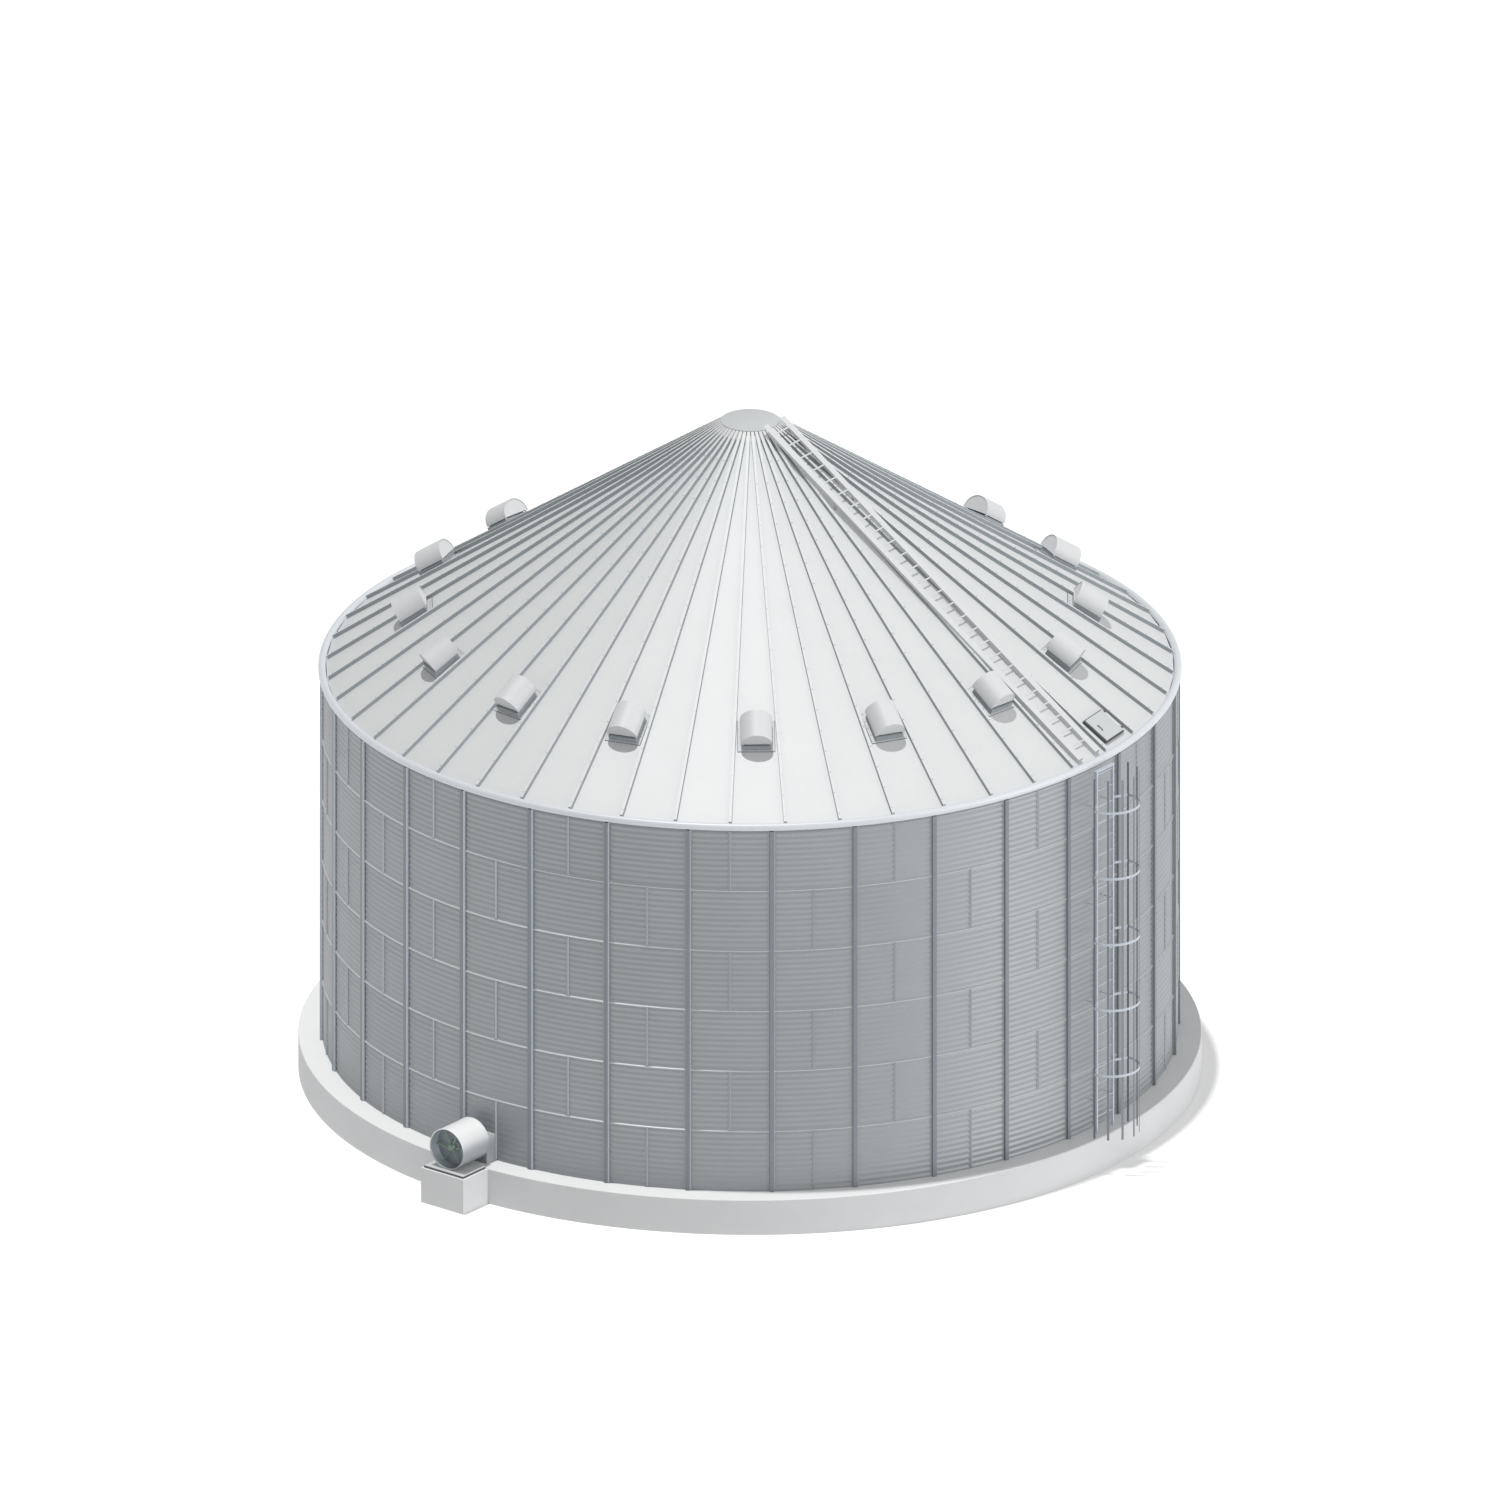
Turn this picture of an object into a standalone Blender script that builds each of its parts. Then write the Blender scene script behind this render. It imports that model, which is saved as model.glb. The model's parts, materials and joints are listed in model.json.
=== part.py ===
"""Grain silo: a round corrugated steel bin with a ribbed cone roof on a concrete plinth.

The origin is on the silo's axis at ground level, with +Z up and +X through the middle of
the roof hatch. Angles are in degrees, anticlockwise seen from above, from +X.
"""
import math

import bmesh
import bpy
from mathutils import Matrix, Vector

# Clearance between touching pieces
GAP = 0.0003

# Concrete plinth and fan pad
PLINTH_RADIUS = 7.73
PLINTH_HEIGHT = 0.64
PLINTH_SIDES = 96
FAN_AZIMUTH = -100.0
PAD_WIDTH = 0.93
PAD_FRONT = 8.38

# Wall of six corrugated rings, split into eight segments
WALL_RADIUS = 7.315
WALL_THICKNESS = 0.030
RING_HEIGHT = 1.109
RINGS = 6
WALL_SIDES = 96
SEGMENTS = 8
SEGMENT_ANGLE = 360.0 / SEGMENTS
FIRST_BOUNDARY = -7.5
STIFFENERS_PER_SEGMENT = 4
STIFFENER_STEP = SEGMENT_ANGLE / STIFFENERS_PER_SEGMENT
STIFFENER_WIDTH = 0.080
STIFFENER_DEPTH = 0.055
STIFFENER_END_GAP = 0.005

# Eave tube that the roof sheets end against
EAVE_TUBE_RADIUS = 0.065
EAVE_RING_RADIUS = 7.326
EAVE_TUBE_SIDES = 8

# Cone roof of forty-eight flat panels between ribs, split into eight sectors
ROOF_PANELS = 48
PANEL_ANGLE = 360.0 / ROOF_PANELS
ROOF_SLOPE = 0.664
ROOF_THICKNESS = 0.030
ROOF_DROP = 0.062
ROOF_PEAK_RADIUS = 0.440
RIB_WIDTH = 0.050
RIB_HEIGHT = 0.065
RIB_EAVE_RADIUS = 7.221
RIB_PEAK_RADIUS = 0.472

# Peak collar and cap
COLLAR_THICKNESS = 0.030
COLLAR_SKIRT = 0.080
CAP_RADIUS = 0.505
CAP_THICKNESS = 0.017
ROUND_SIDES = 48

# Sixteen roof vents, each in the middle of a roof panel
VENTS = 16
VENT_FIRST_AZIMUTH = -15.0
VENT_RADIUS = 5.963
VENT_FLANGE_SIDE = 0.630
VENT_FLANGE_THICKNESS = 0.012
VENT_CURB_SETBACK = 0.025
VENT_CURB_WIDTH = 0.500
VENT_CURB_LENGTH = 0.520
VENT_CURB_HEIGHT = 0.085
VENT_HOOD_SETBACK = 0.057
VENT_HOOD_RADIUS = 0.272
VENT_HOOD_LENGTH = 0.540
VENT_HOOD_BASE = 0.135
VENT_HOOD_SIDES = 16
VENT_POST = 0.030

# Hatch in the middle of the roof panel at +X, hinged along the slope
HATCH_AZIMUTH = 0.0
HATCH_RADIUS = 6.892
HATCH_FRAME_WIDTH = 0.620
HATCH_FRAME_LENGTH = 0.550
HATCH_FRAME_HEIGHT = 0.050
HATCH_FRAME_WALL = 0.040
HATCH_CUT_DEPTH = 0.400
HATCH_LID_WIDTH = 0.580
HATCH_LID_LENGTH = 0.510
HATCH_LID_THICKNESS = 0.022
HINGE_OFFSET = 0.316
HINGE_BARREL_RADIUS = 0.010
HINGE_BARREL_LENGTH = 0.360
HINGE_PIN_RADIUS = 0.006
HINGE_PIN_CLEARANCE = 0.0007
HINGE_LUG = 0.026
HINGE_LUG_LENGTH = 0.040
HINGE_LUG_GAP = 0.005
HINGE_SIDES = 12
HANDLE_LENGTH = 0.130
HANDLE_OFFSET = 0.165
HANDLE_BAR = 0.016
HANDLE_RISE = 0.040

# Ladders, both at the same azimuth
LADDER_AZIMUTH = -7.5
RUNG_RADIUS = 0.012
RUNG_SIDES = 6

# Roof ladder of two wide strips, whose underside runs between two (radius, height) points
ROOF_LADDER_WIDTH = 0.615
ROOF_LADDER_EAVE = (7.200, 7.446)
ROOF_LADDER_PEAK = (0.495, 11.997)
STRIP_WIDTH = 0.135
STRIP_THICKNESS = 0.030
ROOF_FIRST_RUNG = 0.296
ROOF_RUNG_STEP = 0.3036
ROOF_LADDER_FEET = (7.09, 5.40, 3.662, 2.00, 1.207)
ROOF_FEET_ON_RIBS = (3.662, 1.207)
FOOT_WIDTH = 0.046
FOOT_LENGTH = 0.060

# Wall ladder
LADDER_WIDTH = 0.505
RAIL_WIDTH = 0.050
RAIL_DEPTH = 0.040
WALL_LADDER_STANDOFF = 0.220
WALL_LADDER_TOP = 6.680
WALL_LADDER_HEAD = 0.035
HEAD_OVERHANG = 0.004
WALL_RUNG_STEP = 0.300
BRACKET_HEIGHTS = (0.60, 2.40, 4.20, 6.00)
BRACKET_SIZE = 0.040
BRACKET_INSET = 0.004

# Safety cage around the wall ladder
CAGE_CENTRE = 0.150
CAGE_RADIUS = 0.490
CAGE_BAR = 0.012
CAGE_HOOP_HEIGHT = 0.045
CAGE_HOOPS = (1.20, 2.413, 3.626, 4.839, 6.052)
CAGE_ARC_SIDES = 12
CAGE_STRAPS = 7
CAGE_STRAP_WIDTH = 0.040
CAGE_STRAP_BOTTOM = 0.020
CAGE_STRAP_TOP = 6.650

# Aeration fan and the duct that joins it to the wall
PLATE_INSET = 0.035
PLATE_THICKNESS = 0.040
FAN_FRONT = 8.26
FAN_RADIUS = 0.370
FAN_LENGTH = 0.700
FAN_SHELL = 0.012
FAN_BACK_PLATE = 0.015
DUCT_WIDTH = 0.635
DUCT_HEIGHT = 0.490
DUCT_SHEET = 0.012
DUCT_WALL_GAP = 0.004
WALL_OPENING_MARGIN = 0.030
WALL_CUT_DEPTH = 0.300
FAN_OUTLET_WIDTH = 0.490
FAN_OUTLET_CUT_DEPTH = 0.060
MOTOR_RADIUS = 0.105
MOTOR_LENGTH = 0.260
MOTOR_STRUT_WIDTH = 0.048
MOTOR_STRUT_THICKNESS = 0.012
MOTOR_STRUTS = 3
FIRST_STRUT_ANGLE = 30.0
OVERLAP = 0.010
MOTOR_SHAFT_RADIUS = 0.014
MOTOR_SHAFT_LENGTH = 0.050
ROTOR_SETBACK = 0.100
ROTOR_HUB_RADIUS = 0.060
ROTOR_HUB_LENGTH = 0.070
ROTOR_BORE_RADIUS = 0.0147
ROTOR_HUB_GAP = 0.006
ROTOR_TIP_RADIUS = 0.325
ROTOR_BLADES = 6
BLADE_CHORD = 0.080
BLADE_THICKNESS = 0.008
BLADE_PITCH = 35.0
SHAFT_SIDES = 16

# Heights that follow from the sizes above
WALL_BASE_Z = PLINTH_HEIGHT + GAP
WALL_TOP_Z = PLINTH_HEIGHT + RINGS * RING_HEIGHT
EAVE_Z = WALL_TOP_Z + GAP + EAVE_TUBE_RADIUS
ROOF_PITCH = math.atan(ROOF_SLOPE)


def roof_eave_radius():
    """Mid-panel radius at which the roof sheet ends against the inner side of the tube."""
    tube_middle = EAVE_RING_RADIUS * math.cos(math.radians(PANEL_ANGLE / 2))
    return tube_middle - EAVE_TUBE_RADIUS - GAP


def roof_z(radius):
    """Height of the roof panels' upper face on their mid-lines."""
    return EAVE_Z - ROOF_DROP + (EAVE_RING_RADIUS - radius) * ROOF_SLOPE


def empty_scene():
    """Remove the start-up objects and make the two collections."""
    for item in list(bpy.data.objects):
        bpy.data.objects.remove(item, do_unlink=True)
    for name in ("grain_silo", "cutters"):
        collection = bpy.data.collections.new(name)
        bpy.context.scene.collection.children.link(collection)


def material(name, colour, roughness, metallic):
    """A Principled material of one colour."""
    made = bpy.data.materials.new(name)
    made.use_nodes = True
    shader = made.node_tree.nodes["Principled BSDF"]
    shader.inputs["Base Color"].default_value = (*colour, 1.0)
    shader.inputs["Roughness"].default_value = roughness
    shader.inputs["Metallic"].default_value = metallic
    return made


def add_object(name, bm, surface=None, collection="grain_silo"):
    """Turn a bmesh into a named object with its material."""
    mesh = bpy.data.meshes.new(name)
    bm.to_mesh(mesh)
    bm.free()
    if surface:
        mesh.materials.append(surface)
    made = bpy.data.objects.new(name, mesh)
    bpy.data.collections[collection].objects.link(made)
    return made


def add_tool(name, bm):
    """An object that is only used to cut or join others."""
    made = add_object(name, bm, collection="cutters")
    made.hide_render = True
    made.display_type = "WIRE"
    return made


def boolean(target, tool, operation):
    """Cut or join the target with a tool object."""
    modifier = target.modifiers.new(tool.name, "BOOLEAN")
    modifier.operation = operation
    modifier.object = tool
    modifier.solver = "EXACT"


def radial_frame(azimuth, radius=0.0, z=0.0):
    """Local X is tangential, local Y points out from the axis and local Z is up."""
    turn = Matrix.Rotation(math.radians(azimuth - 90.0), 4, "Z")
    return turn @ Matrix.Translation((0.0, radius, z))


def roof_frame(azimuth, radius):
    """On the roof panel's mid-line: X tangential, Y uphill, Z along the panel's normal."""
    place = Matrix.Rotation(math.radians(azimuth), 4, "Z")
    place = place @ Matrix.Translation((radius, 0.0, roof_z(radius)))
    place = place @ Matrix.Rotation(math.radians(90.0), 4, "Z")
    return place @ Matrix.Rotation(ROOF_PITCH, 4, "X")


def box(bm, size, centre, frame=Matrix()):
    """Add a box of the given size, its centre given in the frame."""
    place = frame @ Matrix.Translation(centre) @ Matrix.Diagonal((*size, 1.0))
    bmesh.ops.create_cube(bm, size=1.0, matrix=place)


def rod(bm, radius, length, centre, axis, sides, frame=Matrix()):
    """Add a capped cylinder along the frame's X, Y or Z axis."""
    turns = {
        "X": Matrix.Rotation(math.radians(90.0), 4, "Y"),
        "Y": Matrix.Rotation(math.radians(90.0), 4, "X"),
        "Z": Matrix(),
    }
    place = frame @ Matrix.Translation(centre) @ turns[axis]
    bmesh.ops.create_cone(bm, cap_ends=True, segments=sides, radius1=radius,
                          radius2=radius, depth=length, matrix=place)


def turned(name, profile, surface, sides, first_angle=0.0):
    """Turn a closed profile of (radius, height) points about the Z axis."""
    bm = bmesh.new()
    points = [bm.verts.new((radius, 0.0, z)) for radius, z in profile]
    for start, end in zip(points, points[1:] + points[:1]):
        bm.edges.new((start, end))
    made = add_object(name, bm, surface)
    made.rotation_euler.z = math.radians(first_angle)
    screw = made.modifiers.new("turn", "SCREW")
    screw.steps = sides
    screw.render_steps = sides
    screw.use_merge_vertices = True
    screw.merge_threshold = 0.0001
    return made


def sector(bm, start, end):
    """Keep the part of a round surface between two azimuths, short of each by half a gap."""
    for azimuth, side in ((start, 1.0), (end, -1.0)):
        turn = Matrix.Rotation(math.radians(azimuth), 3, "Z")
        inward = turn @ Vector((0.0, side, 0.0))
        bmesh.ops.bisect_plane(bm, geom=bm.verts[:] + bm.edges[:] + bm.faces[:],
                               dist=1e-6, plane_co=inward * GAP / 2, plane_no=-inward,
                               clear_outer=True)


def make_foundation(surface):
    """The round plinth, and the block that carries the fan."""
    bm = bmesh.new()
    rod(bm, PLINTH_RADIUS, PLINTH_HEIGHT, (0.0, 0.0, PLINTH_HEIGHT / 2), "Z", PLINTH_SIDES)
    add_object("foundation_slab", bm, surface)

    frame = radial_frame(FAN_AZIMUTH)
    inner = PLINTH_RADIUS - PAD_WIDTH / 2
    bm = bmesh.new()
    box(bm, (PAD_WIDTH, PAD_FRONT - inner, PLINTH_HEIGHT),
        (0.0, (PAD_FRONT + inner) / 2, PLINTH_HEIGHT / 2), frame)
    pad = add_object("fan_pad", bm, surface)
    bm = bmesh.new()
    rod(bm, PLINTH_RADIUS + GAP, 2 * PLINTH_HEIGHT, (0.0, 0.0, PLINTH_HEIGHT / 2), "Z",
        PLINTH_SIDES)
    boolean(pad, add_tool("plinth_cut", bm), "DIFFERENCE")


def make_wall(surface):
    """Eight wall segments, each with the stiffeners that are bolted to it."""
    height = WALL_TOP_Z - WALL_BASE_Z
    middle = (WALL_TOP_Z + WALL_BASE_Z) / 2
    stiffener_back = WALL_RADIUS - WALL_THICKNESS / 2
    stiffener_front = WALL_RADIUS + STIFFENER_DEPTH
    place = Matrix.Translation((0.0, 0.0, middle))
    place = place @ Matrix.Rotation(math.pi / WALL_SIDES, 4, "Z")
    for index in range(SEGMENTS):
        start = FIRST_BOUNDARY + index * SEGMENT_ANGLE
        bm = bmesh.new()
        bmesh.ops.create_cone(bm, cap_ends=False, segments=WALL_SIDES, radius1=WALL_RADIUS,
                              radius2=WALL_RADIUS, depth=height, matrix=place)
        sector(bm, start, start + SEGMENT_ANGLE)
        wall = add_object(f"wall_segment_{index + 1}", bm, surface)
        shell = wall.modifiers.new("sheet", "SOLIDIFY")
        shell.thickness = WALL_THICKNESS
        shell.offset = -1.0
        shell.use_even_offset = True

        bm = bmesh.new()
        for stiffener in range(STIFFENERS_PER_SEGMENT):
            azimuth = start + (stiffener + 0.5) * STIFFENER_STEP
            box(bm, (STIFFENER_WIDTH, stiffener_front - stiffener_back,
                     height - 2 * STIFFENER_END_GAP),
                (0.0, (stiffener_front + stiffener_back) / 2, middle), radial_frame(azimuth))
        boolean(wall, add_tool(f"stiffeners_{index + 1}", bm), "UNION")


def cut_duct_opening():
    """The opening in the wall behind the duct."""
    bm = bmesh.new()
    margin = 2 * (DUCT_SHEET + WALL_OPENING_MARGIN)
    box(bm, (DUCT_WIDTH - margin, WALL_CUT_DEPTH, DUCT_HEIGHT - margin),
        (0.0, WALL_RADIUS, PLINTH_HEIGHT + DUCT_HEIGHT / 2), radial_frame(FAN_AZIMUTH))
    tool = add_tool("duct_opening", bm)
    index = int(((FAN_AZIMUTH - FIRST_BOUNDARY) % 360.0) // SEGMENT_ANGLE)
    boolean(bpy.data.objects[f"wall_segment_{index + 1}"], tool, "DIFFERENCE")


def make_eave_ring(surface):
    """The round tube at the eave, with a flat under it where the wall stops."""
    profile = []
    corner = EAVE_TUBE_RADIUS / math.cos(math.pi / EAVE_TUBE_SIDES)
    for index in range(EAVE_TUBE_SIDES):
        angle = -2 * math.pi * (index + 0.5) / EAVE_TUBE_SIDES
        profile.append((EAVE_RING_RADIUS + corner * math.cos(angle),
                        EAVE_Z + corner * math.sin(angle)))
    turned("eave_ring", profile, surface, ROOF_PANELS, PANEL_ANGLE / 2)


def make_roof(surface):
    """Eight roof sectors of six panels, each with its ribs."""
    corner = 1.0 / math.cos(math.radians(PANEL_ANGLE / 2))
    eave_radius = roof_eave_radius()
    eave_z = roof_z(eave_radius)
    peak_z = roof_z(ROOF_PEAK_RADIUS)
    place = Matrix.Translation((0.0, 0.0, (eave_z + peak_z) / 2))
    place = place @ Matrix.Rotation(math.radians(PANEL_ANGLE / 2), 4, "Z")
    rib_slope = math.atan(ROOF_SLOPE / corner)
    rib_length = (RIB_EAVE_RADIUS - RIB_PEAK_RADIUS) / math.cos(rib_slope)
    for index in range(SEGMENTS):
        start = FIRST_BOUNDARY + index * SEGMENT_ANGLE
        bm = bmesh.new()
        bmesh.ops.create_cone(bm, cap_ends=False, segments=ROOF_PANELS,
                              radius1=eave_radius * corner,
                              radius2=ROOF_PEAK_RADIUS * corner,
                              depth=peak_z - eave_z, matrix=place)
        sector(bm, start, start + SEGMENT_ANGLE)
        roof = add_object(f"roof_sector_{index + 1}", bm, surface)
        shell = roof.modifiers.new("sheet", "SOLIDIFY")
        shell.thickness = ROOF_THICKNESS
        shell.offset = -1.0
        shell.use_even_offset = True

        bm = bmesh.new()
        for rib in range(int(SEGMENT_ANGLE / PANEL_ANGLE)):
            azimuth = start + (rib + 0.5) * PANEL_ANGLE
            middle = (RIB_EAVE_RADIUS + RIB_PEAK_RADIUS) / 2
            frame = Matrix.Rotation(math.radians(azimuth), 4, "Z")
            frame = frame @ Matrix.Translation((middle, 0.0, roof_z(middle / corner)))
            frame = frame @ Matrix.Rotation(rib_slope, 4, "Y")
            depth = RIB_HEIGHT + ROOF_THICKNESS / 2
            box(bm, (rib_length, RIB_WIDTH, depth),
                (0.0, 0.0, RIB_HEIGHT - depth / 2), frame)
        boolean(roof, add_tool(f"ribs_{index + 1}", bm), "UNION")


def make_peak(collar_surface, cap_surface):
    """The collar inside the roof's top edge, and the flat cap at the height of the ribs' tops."""
    drop = ROOF_THICKNESS * math.cos(ROOF_PITCH)
    roof_edge = ROOF_PEAK_RADIUS - drop * ROOF_SLOPE
    outer = roof_edge / math.cos(math.radians(PANEL_ANGLE / 2)) - GAP
    underside = roof_z(CAP_RADIUS) + RIB_HEIGHT / math.cos(ROOF_PITCH)
    bottom = roof_z(ROOF_PEAK_RADIUS) - COLLAR_SKIRT
    inner = outer - COLLAR_THICKNESS
    turned("peak_collar", [(outer, underside - GAP), (outer, bottom), (inner, bottom),
                           (inner, underside - GAP)],
           collar_surface, ROOF_PANELS, PANEL_ANGLE / 2)

    bm = bmesh.new()
    rod(bm, CAP_RADIUS, CAP_THICKNESS, (0.0, 0.0, underside + CAP_THICKNESS / 2), "Z",
        ROUND_SIDES)
    add_object("peak_cap", bm, cap_surface)


def make_vent(name, azimuth, surface):
    """A roof vent: a flange and curb on the panel, under a half-round hood."""
    frame = roof_frame(azimuth, VENT_RADIUS)
    half = VENT_FLANGE_SIDE / 2
    bm = bmesh.new()
    box(bm, (VENT_FLANGE_SIDE, VENT_FLANGE_SIDE, VENT_FLANGE_THICKNESS),
        (0.0, half, GAP + VENT_FLANGE_THICKNESS / 2), frame)
    vent = add_object(name, bm, surface)

    curb_depth = VENT_CURB_HEIGHT - VENT_FLANGE_THICKNESS / 2
    bm = bmesh.new()
    box(bm, (VENT_CURB_WIDTH, VENT_CURB_LENGTH, curb_depth),
        (0.0, VENT_CURB_SETBACK + VENT_CURB_LENGTH / 2, VENT_CURB_HEIGHT - curb_depth / 2),
        frame)
    boolean(vent, add_tool(f"{name}_curb", bm), "UNION")

    hood_middle = VENT_HOOD_SETBACK + VENT_HOOD_LENGTH / 2
    hood = bmesh.new()
    rod(hood, VENT_HOOD_RADIUS, VENT_HOOD_LENGTH, (0.0, hood_middle, VENT_HOOD_BASE), "Y",
        2 * VENT_HOOD_SIDES, frame)
    keep_above(hood, frame, VENT_HOOD_BASE)
    boolean(vent, add_tool(f"{name}_hood", hood), "UNION")

    posts = bmesh.new()
    low = VENT_CURB_HEIGHT - VENT_POST / 2
    high = VENT_HOOD_BASE + VENT_POST / 2
    back = VENT_CURB_SETBACK + VENT_CURB_LENGTH - VENT_POST
    box(posts, (VENT_CURB_WIDTH - VENT_POST, VENT_POST, high - low),
        (0.0, back, (low + high) / 2), frame)
    front = VENT_HOOD_SETBACK + VENT_POST
    for side in (-1, 1):
        box(posts, (VENT_POST, VENT_POST, high - low),
            (side * (VENT_CURB_WIDTH - 2 * VENT_POST) / 2, front, (low + high) / 2), frame)
    boolean(vent, add_tool(f"{name}_posts", posts), "UNION")


def keep_above(bm, frame, height):
    """Cut away what lies under a height in the frame, and close the cut."""
    point = frame @ Vector((0.0, 0.0, height))
    normal = frame.to_3x3() @ Vector((0.0, 0.0, 1.0))
    cut = bmesh.ops.bisect_plane(bm, geom=bm.verts[:] + bm.edges[:] + bm.faces[:],
                                 dist=1e-6, plane_co=point, plane_no=normal,
                                 clear_inner=True)
    edges = [item for item in cut["geom_cut"] if isinstance(item, bmesh.types.BMEdge)]
    bmesh.ops.contextual_create(bm, geom=edges)


def make_hatch(frame_surface, lid_surface):
    """The hatch: a hole in the roof panel, a frame around it and a hinged lid."""
    frame = roof_frame(HATCH_AZIMUTH, HATCH_RADIUS)
    inner_width = HATCH_FRAME_WIDTH - 2 * HATCH_FRAME_WALL
    inner_length = HATCH_FRAME_LENGTH - 2 * HATCH_FRAME_WALL
    hole = bmesh.new()
    box(hole, (inner_width, inner_length, HATCH_CUT_DEPTH), (0.0, 0.0, 0.0), frame)
    hole = add_tool("hatch_hole", hole)
    index = int(((HATCH_AZIMUTH - FIRST_BOUNDARY) % 360.0) // SEGMENT_ANGLE)
    boolean(bpy.data.objects[f"roof_sector_{index + 1}"], hole, "DIFFERENCE")

    bm = bmesh.new()
    box(bm, (HATCH_FRAME_WIDTH, HATCH_FRAME_LENGTH, HATCH_FRAME_HEIGHT),
        (0.0, 0.0, GAP + HATCH_FRAME_HEIGHT / 2), frame)
    curb = add_object("hatch_frame", bm, frame_surface)
    boolean(curb, hole, "DIFFERENCE")

    axis_height = hinge_height()
    barrel_half = HINGE_BARREL_LENGTH / 2
    lug_middle = barrel_half + HINGE_LUG_GAP + HINGE_LUG_LENGTH / 2
    lug_bottom = HATCH_FRAME_HEIGHT / 2
    lug_top = axis_height + HINGE_LUG / 2
    lugs = bmesh.new()
    bores = bmesh.new()
    for side in (-1, 1):
        box(lugs, (HINGE_LUG, HINGE_LUG_LENGTH, lug_top - lug_bottom),
            (HINGE_OFFSET, side * lug_middle, (lug_top + lug_bottom) / 2), frame)
        rod(bores, HINGE_PIN_RADIUS + HINGE_PIN_CLEARANCE, 2 * HINGE_LUG_LENGTH,
            (HINGE_OFFSET, side * lug_middle, axis_height), "Y", HINGE_SIDES, frame)
    boolean(curb, add_tool("hinge_lugs", lugs), "UNION")
    boolean(curb, add_tool("hinge_bores", bores), "DIFFERENCE")

    lid_bottom = GAP + HATCH_FRAME_HEIGHT + GAP
    lid_middle = lid_bottom + HATCH_LID_THICKNESS / 2
    bm = bmesh.new()
    box(bm, (HATCH_LID_WIDTH, HATCH_LID_LENGTH, HATCH_LID_THICKNESS),
        (0.0, 0.0, lid_middle), frame)
    lid = add_object("hatch_lid", bm, lid_surface)
    leaf = bmesh.new()
    leaf_inner = HATCH_LID_WIDTH / 2 - HINGE_LUG
    box(leaf, (HINGE_OFFSET - leaf_inner, HINGE_BARREL_LENGTH - HINGE_LUG_LENGTH,
               HINGE_BARREL_RADIUS),
        ((HINGE_OFFSET + leaf_inner) / 2, 0.0, axis_height), frame)
    boolean(lid, add_tool("hinge_leaf", leaf), "UNION")
    barrel = bmesh.new()
    rod(barrel, HINGE_BARREL_RADIUS, HINGE_BARREL_LENGTH,
        (HINGE_OFFSET, 0.0, axis_height), "Y", HINGE_SIDES, frame)
    boolean(lid, add_tool("hinge_barrel", barrel), "UNION")
    pin = bmesh.new()
    rod(pin, HINGE_PIN_RADIUS, 2 * lug_middle + HINGE_LUG_LENGTH / 2,
        (HINGE_OFFSET, 0.0, axis_height), "Y", HINGE_SIDES, frame)
    boolean(lid, add_tool("hinge_pin", pin), "UNION")

    handle_middle = lid_bottom + HATCH_LID_THICKNESS + (HANDLE_RISE - HANDLE_BAR) / 2
    handle = bmesh.new()
    box(handle, (HANDLE_BAR, HANDLE_LENGTH, HANDLE_RISE),
        (-HANDLE_OFFSET, 0.0, handle_middle), frame)
    handle = add_tool("handle", handle)
    finger_gap = bmesh.new()
    box(finger_gap, (2 * HANDLE_BAR, HANDLE_LENGTH - 2 * HANDLE_BAR, HANDLE_RISE),
        (-HANDLE_OFFSET, 0.0, handle_middle - HANDLE_BAR), frame)
    boolean(handle, add_tool("handle_gap", finger_gap), "DIFFERENCE")
    boolean(lid, handle, "UNION")


def hinge_height():
    """Height of the lid's hinge axis over the roof panel."""
    return GAP + HATCH_FRAME_HEIGHT + GAP + HATCH_LID_THICKNESS / 2


def roof_drop(radius, offset):
    """How far the many-sided roof lies under its mid-panel plane beside the mid-line."""
    reach = radius
    for step in range(1, ROOF_PANELS // 4):
        turn = math.radians(step * PANEL_ANGLE)
        reach = max(reach, radius * math.cos(turn) + abs(offset) * math.sin(turn))
    return (reach - radius) * ROOF_SLOPE * math.cos(ROOF_PITCH)


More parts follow.
